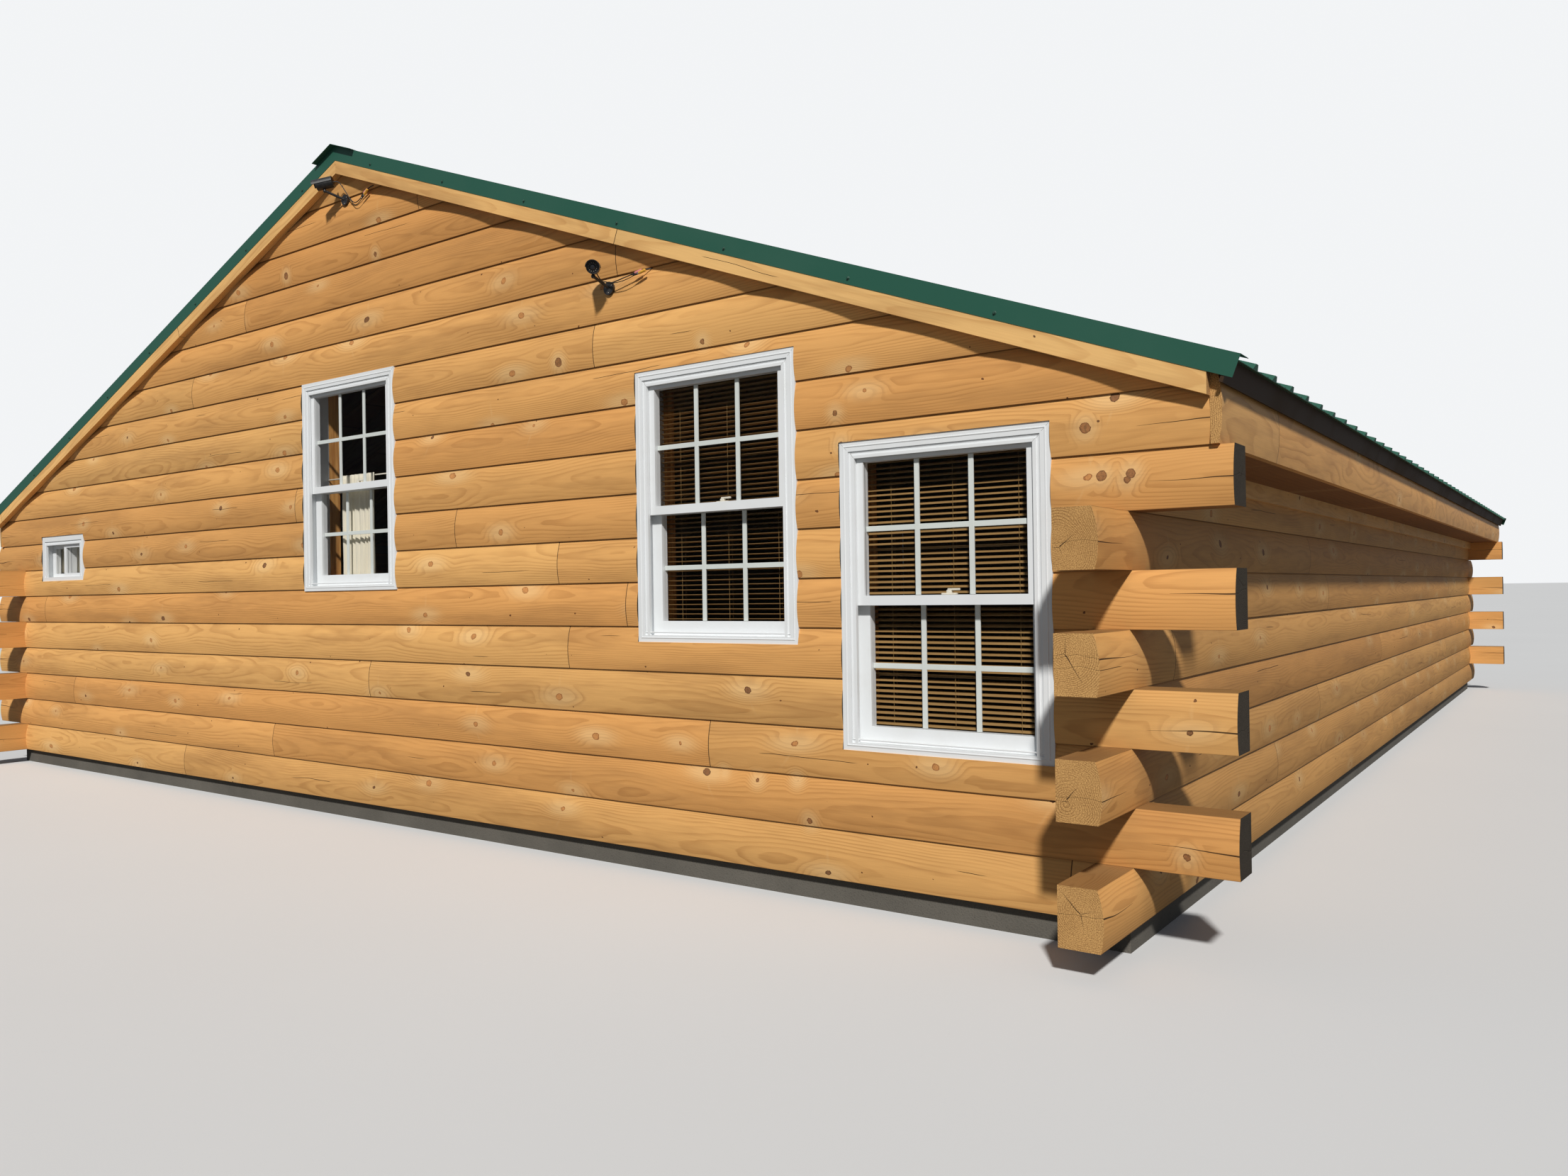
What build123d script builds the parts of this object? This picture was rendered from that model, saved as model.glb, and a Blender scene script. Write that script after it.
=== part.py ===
from build123d import *
import os
from math import atan, ceil, cos, radians, sin, tan

# A milled-log cabin. Sizes are in millimetres.
# X runs across the gable to the right, Y runs along the ridge away from the front gable and Z points up.
# The origin is on the ground under the middle of the cabin.

# Logs: flat inner face, flat top and foot, shallow round outer face
log_height = 200
log_depth = 152
log_belly = 86
log_round = 332
log_tail = 325

# Cabin
gable_width = 8960
side_length = 11700
eave_courses = 8
shortest_course = 60
slab_height = 100
slab_setback = 45
floor_thickness = 20

# Roof
roof_rise = 375
roof_run = 1000
heel_height = 340
deck_thickness = 38
sheet_thickness = 2
rib_height = 19
rib_foot = 62
rib_top = 24
rib_pitch = 264
panel_overhang = 25
cap_leg = 170
cap_overhang = 30
rake_board_thickness = 38
rake_board_width = 122
rake_trim_face = 77
rake_trim_flange = 95

# Eaves
eave_depth = 256
fascia_thickness = 38
fascia_edge = 26
fascia_height = 230
soffit_thickness = 12
frieze_height = 75
frieze_thickness = 19
eave_board_thickness = 12
eave_board_width = 75
eave_board_length = 2940
eave_board_gap = 3

# Roof framing
rafter_thickness = 38
rafter_depth = 286
rafter_spacing = 610
plate_thickness = 76

# Tall windows: sill heights are above the foot of the lowest log, margins are from the corner of the walls
window_width = 880
window_height = 1210
window_gap = 210
right_window_margin = 290
back_window_margin = 1380
left_window_centre = 0
left_window_sill = 1190
middle_window_sill = 930
right_window_sill = 520
back_window_sill = 930

# Window frames and sashes: depths are measured outwards from the wall's flat inner face
casing_width = 68
casing_face = 144
casing_thickness = 14
casing_step = 6
casing_outer_band = 34
casing_bead = 12
sill_height = 30
jamb_width = 40
sash_stile = 58
sash_head = 44
meeting_rail = 38
bottom_rail = 62
sash_thickness = 35
sash_gap = 4
sash_casing_gap = 3
glass_thickness = 6
glass_set = 10

# Small window
small_window_width = 700
small_window_height = 340
small_window_margin = 480
small_window_sill = 1310
small_stile = 52
small_meeting_stile = 34

# Blinds and curtains
blind_thickness = 26
blind_back = 10
blind_side_gap = 6
curtain_thickness = 24
curtain_back = 14
curtain_width = 330
curtain_height = 960
small_curtain_height = 235

# Back door
door_width = 914
door_height = 2032
door_thickness = 44
door_frame_width = 32
door_casing_width = 90
door_casing_thickness = 22
door_gap = 4
threshold_height = 24
door_stop_cover = 8
door_panel_recess = 8
door_panel_margin = 120
door_bottom_rail = 180
door_lock_rail = 900

# Security cameras: drops are below the foot of the rake board, turns are to the right of straight out
camera_diameter = 60
camera_length = 92
camera_front_recess = 5
camera_rim = 4
camera_lens = 24
visor_wall = 3
visor_length = 112
camera_base = 60
camera_base_thickness = 12
camera_arm = 14
camera_arm_reach = 96
camera_arm_rise = 38
camera_neck = 12
camera_neck_length = 10
camera_tilt = 14
seat_samples = 8
upper_camera_x = 30
upper_camera_drop = 134
upper_camera_lean = -55
upper_camera_turn = -50
lower_camera_x = 2080
lower_camera_drop = 208
lower_camera_lean = -10
lower_camera_turn = 42

# Camera leads: points are right of, out from and above the middle of the camera's base
lead_diameter = 5
lead_sides = 8
lead_stub = 26
lead_bury = 4
upper_lead_points = [
    (12, 36, 72),
    (34, 27, 36),
    (56, 21, 2),
    (80, 17, -28),
    (114, 15, -42),
    (150, 14, -30),
    (182, 13, -6),
    (210, 12, 9),
    (235, 10, 20),
]
upper_lead_hole = (256, 29)
lower_lead_points = [
    (-50, 26, 60),
    (-28, 22, 32),
    (4, 28, 25),
    (36, 30, 13),
    (84, 27, 21),
    (136, 24, 30),
    (178, 19, 38),
    (216, 12, 47),
]
lower_lead_hole = (246, 54)

# Places worked out from the sizes
half_width = gable_width / 2
half_length = side_length / 2
right_window_centre = half_width - right_window_margin - window_width / 2
middle_window_centre = right_window_centre - window_width - window_gap
back_window_centre = half_width - back_window_margin - window_width / 2
small_window_centre = small_window_margin + small_window_width / 2 - half_width
upper_sash_back = casing_face - casing_thickness - sash_casing_gap - sash_thickness
lower_sash_back = upper_sash_back - sash_gap - sash_thickness
wall_base = slab_height
eave_z = wall_base + eave_courses * log_height
log_foot_depth = log_depth - log_round + (log_round**2 - log_belly**2) ** 0.5
log_top_depth = log_depth - log_round + (log_round**2 - (log_height - log_belly) ** 2) ** 0.5
roof_pitch = roof_rise / roof_run
roof_angle = atan(roof_pitch)
ridge_z = eave_z + heel_height + roof_pitch * half_width
fascia_back = half_width + eave_depth
fascia_face = fascia_back + fascia_thickness
deck_end = (fascia_face + (eave_board_width - deck_thickness) * sin(roof_angle)) / cos(roof_angle)
eave_board_end = deck_end + eave_board_thickness
panel_end = eave_board_end + panel_overhang
sheet_foot = deck_thickness
rib_crest = sheet_foot + sheet_thickness + rib_height
trim_crest = rib_crest + sheet_thickness
cap_crest = trim_crest + sheet_thickness
rake_foot = deck_thickness - rake_board_width
rake_face = half_length + rake_board_thickness
trim_face = rake_face + sheet_thickness
gable_courses = ceil((ridge_z - wall_base - shortest_course) / log_height)
far = 3 * max(gable_width, side_length)


def block(x0, x1, y0, y1, z0, z1):
    """A box between two corners."""
    return Pos((x0 + x1) / 2, (y0 + y1) / 2, (z0 + z1) / 2) * Box(abs(x1 - x0), abs(y1 - y0), z1 - z0)


def along_x(outline, x0, x1):
    """Push an outline drawn in Y and Z from x0 to x1."""
    return extrude(Plane.YZ.offset(x0) * outline, amount=x1 - x0)


def along_y(outline, y0, y1):
    """Push an outline drawn in X and Z from y0 to y1."""
    return extrude(Plane.XZ.offset(-y1) * outline, amount=y1 - y0)


def polygon(*points):
    return make_face(Polyline(*points, close=True))


def save(node, solids):
    """Write one sub-part. Its solids do not touch one another."""
    solids = list(solids)
    shape = solids[0] if len(solids) == 1 else Compound(solids)
    export_step(shape, f"parts/{node}.step")


def roof_point(side, along, up):
    """A point in X and Z: along is down the slope from the ridge, up is square to the deck's underside."""
    x = along * cos(roof_angle) + up * sin(roof_angle)
    z = ridge_z - along * sin(roof_angle) + up * cos(roof_angle)
    return (side * x, z)


def ridge_point(up):
    """Where a roof layer meets the ridge plane."""
    return (0, ridge_z + up / cos(roof_angle))


def rake_z(x, up):
    """Height of a roof layer's plane at x from the ridge."""
    return ridge_z + up / cos(roof_angle) - roof_pitch * x


def face_depth(height):
    """Depth of the round log face at a height above the foot of the lowest log."""
    above_foot = height % log_height
    return log_depth - log_round + (log_round**2 - (above_foot - log_belly) ** 2) ** 0.5


def radians_between(first, second):
    """The angle by which a route turns from one run to the next."""
    return radians(first.get_angle(second))


def roof_layer(side, low, high, end):
    """Outline of one roof layer from the ridge plane to a square-cut lower end."""
    foot = (roof_point(side, end, low), roof_point(side, end, high))
    return polygon(ridge_point(low), *foot, ridge_point(high))


os.makedirs("parts", exist_ok=True)
far_z = rake_z(far, 0)
roof_underside = polygon((-far, -far), (far, -far), (far, far_z), ridge_point(0), (-far, far_z))
under_roof = along_y(roof_underside, -far, far)


def log_section(inner, side, foot):
    """Section of one log. inner is its flat face and side the way that it looks outwards."""
    top = foot + log_height
    outer_foot = (inner + side * log_foot_depth, foot)
    outer_top = (inner + side * log_top_depth, top)
    flats = Polyline(outer_foot, (inner, foot), (inner, top), outer_top)
    face = ThreePointArc(outer_top, (inner + side * log_depth, foot + log_belly), outer_foot)
    return make_face(flats + face)


def gable_block(side, x0, x1, d0, d1, z0, z1):
    """A box in a gable wall. d is the depth outwards from the wall's flat inner face."""
    inner = half_length - log_depth
    y0, y1 = sorted((side * (inner + d0), side * (inner + d1)))
    return block(x0, x1, y0, y1, z0, z1)


def opening(side, centre, width, foot, top):
    """What is cut out of a gable wall for a window or a door."""
    return gable_block(side, centre - width / 2, centre + width / 2, -log_depth, 2 * log_depth, foot, top)


def gable_wall(name, side, openings):
    """One gable wall. Odd courses pass the corner as tails, even ones butt between the side logs."""
    courses = {"even": [], "odd": []}
    for course in range(gable_courses):
        foot = wall_base + course * log_height
        if course >= eave_courses:
            reach = fascia_back
        elif course % 2:
            reach = half_width + log_tail
        else:
            reach = half_width - log_depth
        log = along_x(log_section(side * (half_length - log_depth), side, foot), -reach, reach)
        if course >= eave_courses:
            log = log & under_roof
        for cut in openings:
            log = log - cut
        courses["odd" if course % 2 else "even"] += log.solids()
    for parity, logs in courses.items():
        save(f"{name}_{parity}_courses", logs)
    return courses["even"] + courses["odd"]


def side_wall(name, side):
    """One eave wall. Even courses pass the corner as tails, odd ones butt between the gable logs."""
    courses = {"even": [], "odd": []}
    for course in range(eave_courses):
        foot = wall_base + course * log_height
        reach = half_length - log_depth if course % 2 else half_length + log_tail
        log = along_y(log_section(side * (half_width - log_depth), side, foot), -reach, reach)
        courses["odd" if course % 2 else "even"].append(log)
    for parity, logs in courses.items():
        save(f"{name}_{parity}_courses", logs)


def ring(side, outer, inner, d0, d1):
    """A rectangular ring in a gable wall. outer and inner are each left, right, foot and top."""
    x0, x1, z0, z1 = outer
    hole = gable_block(side, inner[0], inner[1], d0 - log_depth, d1 + log_depth, inner[2], inner[3])
    return gable_block(side, x0, x1, d0, d1, z0, z1) - hole


def inset(edges, left, right, foot, top):
    """Edges moved inwards."""
    return (edges[0] + left, edges[1] - right, edges[2] + foot, edges[3] - top)


def window_frame(side, edges):
    """Jamb, head and sill with a stepped casing round the outside."""
    jamb = ring(side, edges, inset(edges, jamb_width, jamb_width, sill_height, jamb_width), 0, casing_face)
    daylight = inset(edges, casing_width, casing_width, sill_height, casing_width)
    casing = ring(side, edges, daylight, casing_face - casing_thickness, casing_face - casing_step)
    band = inset(edges, casing_outer_band, casing_outer_band, sill_height, casing_outer_band)
    outer_band = ring(side, edges, band, casing_face - casing_step, casing_face)
    bead_edge = inset(daylight, -casing_bead, -casing_bead, 0, -casing_bead)
    bead = ring(side, bead_edge, daylight, casing_face - casing_step, casing_face)
    return jamb + casing + outer_band + bead


def window_pane(side, light, back):
    """The pane that fills a sash's light, set back from the sash's outer face."""
    near = back + sash_thickness - glass_set - glass_thickness
    return gable_block(side, light[0], light[1], near, near + glass_thickness, light[2], light[3])


def sash(side, edges, stile, head, foot, back):
    """One sash frame and its pane."""
    light = inset(edges, stile, stile, foot, head)
    frame = ring(side, edges, light, back, back + sash_thickness)
    return frame, window_pane(side, light, back)


def window_edges(centre, width, foot, height):
    return (centre - width / 2, centre + width / 2, foot, foot + height)


def tall_window(side, centre, sill):
    """A double-hung window: frame, two sashes and their panes."""
    edges = window_edges(centre, window_width, wall_base + sill, window_height)
    hung = inset(edges, jamb_width, jamb_width, sill_height, jamb_width)
    middle = (hung[2] + hung[3] + jamb_width - casing_width) / 2
    upper = (hung[0], hung[1], middle - meeting_rail / 2, hung[3])
    lower = (hung[0], hung[1], hung[2], middle + meeting_rail / 2)
    upper_frame, upper_pane = sash(side, upper, sash_stile, sash_head, meeting_rail, upper_sash_back)
    lower_frame, lower_pane = sash(side, lower, sash_stile, meeting_rail, bottom_rail, lower_sash_back)
    return window_frame(side, edges), [upper_frame, lower_frame], [upper_pane, lower_pane]


def small_window(side, centre, sill):
    """A sliding window: frame, two sashes side by side and their panes."""
    edges = window_edges(centre, small_window_width, wall_base + sill, small_window_height)
    slid = inset(edges, jamb_width, jamb_width, sill_height, jamb_width)
    left = (slid[0], centre + small_meeting_stile / 2, slid[2], slid[3])
    right = (centre - small_meeting_stile / 2, slid[1], slid[2], slid[3])
    frames = []
    panes = []
    for leaf, back in ((left, lower_sash_back), (right, upper_sash_back)):
        light = inset(
            leaf,
            small_stile if leaf is left else small_meeting_stile,
            small_meeting_stile if leaf is left else small_stile,
            small_stile / 2,
            small_stile,
        )
        frames.append(ring(side, leaf, light, back, back + sash_thickness))
        panes.append(window_pane(side, light, back))
    return window_frame(side, edges), frames, panes


# Foundation and floor
inside_x = half_width - log_depth
inside_y = half_length - log_depth
slab_x = half_width - slab_setback
slab_y = half_length - slab_setback
floor_top = wall_base + floor_thickness
save("foundation_slab", [block(-slab_x, slab_x, -slab_y, slab_y, 0, slab_height)])
save("floor", [block(-inside_x, inside_x, -inside_y, inside_y, wall_base, floor_top)])

# Walls
front_windows = {
    "left_window": (left_window_centre, left_window_sill),
    "middle_window": (middle_window_centre, middle_window_sill),
    "right_window": (right_window_centre, right_window_sill),
}
front_openings = [
    opening(-1, centre, window_width, wall_base + sill, wall_base + sill + window_height)
    for centre, sill in front_windows.values()
]
small_foot = wall_base + small_window_sill
front_openings.append(
    opening(-1, small_window_centre, small_window_width, small_foot, small_foot + small_window_height)
)
door_rough_width = door_width + 2 * (door_gap + door_frame_width)
door_sill = floor_top
door_foot = door_sill + threshold_height
door_top = door_foot + door_gap + door_height + door_gap
door_rough_top = door_top + door_frame_width
back_foot = wall_base + back_window_sill
back_openings = [
    opening(1, centre, window_width, back_foot, back_foot + window_height)
    for centre in (-back_window_centre, back_window_centre)
]
back_openings.append(opening(1, 0, door_rough_width, door_sill, door_rough_top))
front_logs = gable_wall("front_wall", -1, front_openings)
gable_wall("back_wall", 1, back_openings)
side_wall("left_wall", -1)
side_wall("right_wall", 1)

# Windows
front_panes = []
for name, (centre, sill) in front_windows.items():
    frame, sashes, panes = tall_window(-1, centre, sill)
    save(f"{name}_frame", [frame])
    save(f"{name}_sashes", sashes)
    front_panes += panes
frame, sashes, panes = small_window(-1, small_window_centre, small_window_sill)
save("small_window_frame", [frame])
save("small_window_sashes", sashes)
save("front_window_glass", front_panes + panes)
back_frames = []
back_sashes = []
back_panes = []
for centre in (-back_window_centre, back_window_centre):
    frame, sashes, panes = tall_window(1, centre, back_window_sill)
    back_frames.append(frame)
    back_sashes += sashes
    back_panes += panes
save("back_window_frames", back_frames)
save("back_window_sashes", back_sashes)
save("back_window_glass", back_panes)

# Blinds hang from the heads of the middle, right and back windows, curtains from the left and small ones
blinds = []
blind_reach = window_width / 2 - jamb_width - blind_side_gap
for side, (centre, sill) in (
    (-1, front_windows["middle_window"]),
    (-1, front_windows["right_window"]),
    (1, (-back_window_centre, back_window_sill)),
    (1, (back_window_centre, back_window_sill)),
):
    head = wall_base + sill + window_height - jamb_width
    foot = wall_base + sill + sill_height + blind_side_gap
    left = centre - blind_reach
    right = centre + blind_reach
    blinds.append(gable_block(side, left, right, blind_back, blind_back + blind_thickness, foot, head))
save("window_blinds", blinds)
curtain_edge = left_window_centre + window_width / 2 - jamb_width - blind_side_gap
curtain_head = wall_base + left_window_sill + window_height - jamb_width
curtain_depths = (curtain_back, curtain_back + curtain_thickness)
curtain_foot = curtain_head - curtain_height
curtain_left = curtain_edge - curtain_width
left_curtain = gable_block(-1, curtain_left, curtain_edge, *curtain_depths, curtain_foot, curtain_head)
small_reach = small_window_width / 2 - jamb_width - blind_side_gap
small_head = small_foot + small_window_height - jamb_width
small_curtain = gable_block(
    -1,
    small_window_centre - small_reach,
    small_window_centre + small_reach,
    *curtain_depths,
    small_head - small_curtain_height,
    small_head,
)
save("window_curtains", [left_curtain, small_curtain])

# Back door: frame with casing, and a panelled leaf that stays shut
door_edges = (-door_rough_width / 2, door_rough_width / 2, door_sill, door_rough_top)
door_clear = inset(door_edges, door_frame_width, door_frame_width, threshold_height, door_frame_width)
door_frame = ring(1, door_edges, door_clear, 0, log_depth)
casing_edges = inset(door_edges, -door_casing_width, -door_casing_width, 0, -door_casing_width)
door_casing = ring(
    1,
    casing_edges,
    (door_clear[0], door_clear[1], wall_base, door_clear[3]),
    log_depth,
    log_depth + door_casing_thickness,
)
stop_cover = door_gap + door_stop_cover
stop_edges = inset(door_clear, stop_cover, stop_cover, 0, stop_cover)
door_leaf_back = (log_depth - door_thickness) / 2
door_stop = ring(1, door_clear, stop_edges, 0, door_leaf_back)
save("door_frame", [door_frame + door_casing + door_stop])
leaf_left, leaf_right, leaf_foot, leaf_head = inset(door_clear, door_gap, door_gap, 0, door_gap)
leaf_front = door_leaf_back + door_thickness
leaf = gable_block(1, leaf_left, leaf_right, door_leaf_back, leaf_front, leaf_foot, leaf_head)
for panel_foot, panel_top in (
    (leaf_foot + door_bottom_rail, door_sill + door_lock_rail),
    (door_sill + door_lock_rail + door_panel_margin, leaf_head - door_panel_margin),
):
    for panel_left, panel_right in (
        (leaf_left + door_panel_margin, -door_panel_margin / 2),
        (door_panel_margin / 2, leaf_right - door_panel_margin),
    ):
        recess_back = leaf_front - door_panel_recess
        leaf = leaf - gable_block(1, panel_left, panel_right, recess_back, log_depth, panel_foot, panel_top)
save("door_leaf", [leaf])

# Roof framing: plates on the side walls, rafters seated on them and a ridge board between the slopes
plate_top = eave_z + plate_thickness
plates = []
for side in (-1, 1):
    edges = sorted((side * inside_x, side * (inside_x + log_top_depth)))
    plates.append(block(*edges, -inside_y, inside_y, eave_z, plate_top))
save("wall_plates", plates)
ridge_board = block(
    -rafter_thickness / 2, rafter_thickness / 2, -inside_y, inside_y, ridge_z - rafter_depth, ridge_z
)
save("ridge_board", [ridge_board & under_roof])
rafters = []
rafter_count = ceil((2 * inside_y - rafter_thickness) / rafter_spacing)
rafter_step = (2 * inside_y - rafter_thickness) / rafter_count
for side in (-1, 1):
    outline = roof_layer(side, -rafter_depth, 0, deck_end)
    x0, x1 = sorted((side * rafter_thickness / 2, side * fascia_back))
    room = block(x0, x1, -far, far, plate_top, ridge_z)
    for number in range(rafter_count + 1):
        y = -inside_y + number * rafter_step
        rafters += (along_y(outline, y, y + rafter_thickness) & room).solids()
save("rafters", rafters)

# Roof covering
for name, side in (("left", -1), ("right", 1)):
    deck = along_y(roof_layer(side, 0, deck_thickness, deck_end), -half_length, half_length)
    save(f"{name}_roof_deck", [deck])

    # Ribbed sheet: the outline is drawn across the slope and pushed down it from the ridge
    rib_count = int(2 * rake_face / rib_pitch)
    first_rib = -(rib_count - 1) * rib_pitch / 2
    sheet_top = sheet_foot + sheet_thickness
    outline = [(rake_face, sheet_foot), (-rake_face, sheet_foot), (-rake_face, sheet_top)]
    for number in range(rib_count):
        middle = first_rib + number * rib_pitch
        outline += [(middle - rib_foot / 2, sheet_top), (middle - rib_top / 2, rib_crest)]
        outline += [(middle + rib_top / 2, rib_crest), (middle + rib_foot / 2, sheet_top)]
    outline.append((rake_face, sheet_top))
    down_slope = (side * cos(roof_angle), 0, -sin(roof_angle))
    slope_plane = Plane(origin=(0, 0, ridge_z), x_dir=(0, side, 0), z_dir=down_slope)
    save(f"{name}_roof_panels", [extrude(slope_plane * polygon(*outline), amount=panel_end)])

    # Rake boards are nailed on the log bulges, rake trims wrap the edge of the sheet over them
    boards = []
    trims = []
    board_outline = polygon(
        ridge_point(rake_foot),
        (side * fascia_back, rake_z(fascia_back, rake_foot)),
        (side * fascia_back, rake_z(fascia_back, deck_thickness)),
        ridge_point(deck_thickness),
    )
    trim_outline = roof_layer(side, trim_crest - rake_trim_face, trim_crest, panel_end)
    flange_outline = roof_layer(side, rib_crest, trim_crest, panel_end)
    for end in (-1, 1):
        boards.append(along_y(board_outline, *sorted((end * half_length, end * rake_face))))
        face = along_y(trim_outline, *sorted((end * rake_face, end * trim_face)))
        flange = along_y(flange_outline, *sorted((end * (trim_face - rake_trim_flange), end * trim_face)))
        trims.append(face + flange)
    save(f"{name}_rake_boards", boards)
    save(f"{name}_rake_trims", trims)

cap_outline = polygon(
    roof_point(1, cap_leg, trim_crest),
    roof_point(1, cap_leg, cap_crest),
    ridge_point(cap_crest),
    roof_point(-1, cap_leg, cap_crest),
    roof_point(-1, cap_leg, trim_crest),
    ridge_point(trim_crest),
)
cap_reach = trim_face + cap_overhang
save("ridge_cap", [along_y(cap_outline, -cap_reach, cap_reach)])

# Eaves: fascia of round-faced siding, soffit behind it, frieze under the soffit, board on the deck's end
fascias = []
soffits = []
friezes = []
eave_boards = []
frieze_back = inside_x + face_depth(log_height - frieze_height)
soffit_edge = inside_x + log_top_depth
board_count = round(2 * rake_face / eave_board_length)
board_step = 2 * rake_face / board_count
for side in (-1, 1):
    fascia_foot = (side * (fascia_back + fascia_edge), eave_z)
    fascia_top = (side * (fascia_back + fascia_edge), eave_z + fascia_height)
    fascia_belly = (side * fascia_face, eave_z + fascia_height / 2)
    back_top = (side * fascia_back, eave_z + fascia_height)
    flats = Polyline(fascia_foot, (side * fascia_back, eave_z), back_top, fascia_top)
    fascia_outline = make_face(flats + ThreePointArc(fascia_top, fascia_belly, fascia_foot))
    fascias.append(along_y(fascia_outline, -half_length, half_length) & under_roof)
    soffit_x = sorted((side * soffit_edge, side * fascia_back))
    soffits.append(block(*soffit_x, -inside_y, inside_y, eave_z, eave_z + soffit_thickness))
    frieze_x = sorted((side * frieze_back, side * (frieze_back + frieze_thickness)))
    friezes.append(block(*frieze_x, -inside_y, inside_y, eave_z - frieze_height, eave_z))
    board_outline = polygon(
        roof_point(side, deck_end, deck_thickness - eave_board_width),
        roof_point(side, eave_board_end, deck_thickness - eave_board_width),
        roof_point(side, eave_board_end, deck_thickness),
        roof_point(side, deck_end, deck_thickness),
    )
    for number in range(board_count):
        start = -rake_face + number * board_step
        gap = eave_board_gap if number else 0
        eave_boards.append(along_y(board_outline, start + gap, start + board_step))
save("fascia_logs", fascias)
save("soffits", soffits)
save("frieze_boards", friezes)
save("eave_boards", eave_boards)

# Security cameras on the front gable and their leads, which run into the wall under the rake board
bodies = []
brackets = []
for name, x, drop, lean, turn, lead_points, lead_hole in (
    (
        "upper",
        upper_camera_x,
        upper_camera_drop,
        upper_camera_lean,
        upper_camera_turn,
        upper_lead_points,
        upper_lead_hole,
    ),
    (
        "lower",
        lower_camera_x,
        lower_camera_drop,
        lower_camera_lean,
        lower_camera_turn,
        lower_lead_points,
        lower_lead_hole,
    ),
):
    height = rake_z(x, rake_foot) - drop - wall_base
    samples = range(-seat_samples, seat_samples + 1)
    seat = max(face_depth(height + camera_base / 2 * step / seat_samples) for step in samples)
    base = Vector(x, -inside_y - seat, wall_base + height)
    joint = base + Vector(lean, -camera_arm_reach, camera_arm_rise)
    middle = joint + Vector(0, 0, camera_neck_length + camera_diameter / 2)
    aim = Vector(0, -1, 0).rotate(Axis.X, camera_tilt).rotate(Axis.Z, turn)
    level = Vector(0, 0, 1).cross(aim)
    barrel = Plane(origin=middle, x_dir=level, z_dir=aim)
    radius = camera_diameter / 2
    body = barrel * Cylinder(radius, camera_length)
    bore = Cylinder(radius - camera_rim, 2 * camera_front_recess)
    lens = Cylinder(camera_lens / 2, 2 * camera_front_recess)
    body = body - barrel * Pos(0, 0, camera_length / 2) * (bore - lens)
    visor = Cylinder(radius + visor_wall, visor_length) - Cylinder(radius, visor_length)
    visor = visor & Pos(0, radius, 0) * Box(camera_diameter * 2, camera_diameter, visor_length)
    body = body + barrel * Pos(0, 0, (visor_length - camera_length) / 2) * visor
    bodies.append(body)
    wall_plane = Plane(origin=base, x_dir=(1, 0, 0), z_dir=(0, -1, 0))
    disc = Cylinder(camera_base / 2, camera_base_thickness)
    disc = wall_plane * Pos(0, 0, camera_base_thickness / 2) * disc
    reach = joint - base
    arm_plane = Plane(origin=base + reach * 0.5, z_dir=reach)
    arm = arm_plane * Cylinder(camera_arm / 2, reach.length)
    arm = arm & block(x - far, x + far, joint.Y - camera_base, base.Y, base.Z - camera_base, far)
    neck = Pos(joint) * Pos(0, 0, radius / 2) * Cylinder(camera_neck / 2, radius + camera_arm / 2)
    brackets.append(disc + arm + neck - barrel * Cylinder(radius, camera_length))
    rear = middle - aim * (camera_length / 2)
    route = [rear, rear - aim * lead_stub]
    route += [base + Vector(right, -out, up) for right, out, up in lead_points]
    hole_x, hole_up = lead_hole
    hole_depth = face_depth(height + hole_up)
    hole = Vector(x + hole_x, lead_bury - inside_y - hole_depth, base.Z + hole_up)
    route.append(hole)
    radii = []
    for before, corner, after in zip(route, route[1:], route[2:]):
        first = corner - before
        second = after - corner
        bend = radians_between(first, second)
        radii.append(0.45 * min(first.length, second.length) / tan(bend / 2))
    path = FilletPolyline(*route, radius=radii)
    print(name, "lead radii", [round(radius, 1) for radius in radii], "length", round(path.length, 1))
    lead_plane = Plane(origin=route[0], z_dir=route[1] - route[0])
    lead_section = lead_plane * RegularPolygon(lead_diameter / 2, lead_sides)
    lead = sweep(lead_section, path=path)
    for log in front_logs:
        lead = lead - log
    save(f"{name}_camera_lead", [lead])
save("camera_bodies", bodies)
save("camera_brackets", brackets)
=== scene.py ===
from math import atan, cos, pi, radians, sin

import bmesh
import bpy
from mathutils import Matrix, Vector


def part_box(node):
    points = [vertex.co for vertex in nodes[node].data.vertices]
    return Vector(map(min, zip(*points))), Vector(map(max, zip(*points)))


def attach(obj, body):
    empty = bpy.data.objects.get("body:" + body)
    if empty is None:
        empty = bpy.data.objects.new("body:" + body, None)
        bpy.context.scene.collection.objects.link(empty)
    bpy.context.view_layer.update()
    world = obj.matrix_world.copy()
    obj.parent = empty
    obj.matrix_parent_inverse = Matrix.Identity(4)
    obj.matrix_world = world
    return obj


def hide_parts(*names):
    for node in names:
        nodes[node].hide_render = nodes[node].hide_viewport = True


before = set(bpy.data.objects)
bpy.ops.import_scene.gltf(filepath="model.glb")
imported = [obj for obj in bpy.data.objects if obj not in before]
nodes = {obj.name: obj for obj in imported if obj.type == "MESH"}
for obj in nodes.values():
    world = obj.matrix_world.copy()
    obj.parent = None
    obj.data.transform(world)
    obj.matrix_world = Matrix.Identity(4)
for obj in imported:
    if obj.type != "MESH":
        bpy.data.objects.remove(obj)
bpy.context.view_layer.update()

# Where the cabin is looked at from: a standing view from in front of its right-hand corner.
# The lens is a moderate wide angle, and the walls' verticals lean a little, as they were seen.


def new_object(name, data):
    """An object that stands in the scene."""
    made = bpy.data.objects.new(name, data)
    bpy.context.scene.collection.objects.link(made)
    return made


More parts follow.
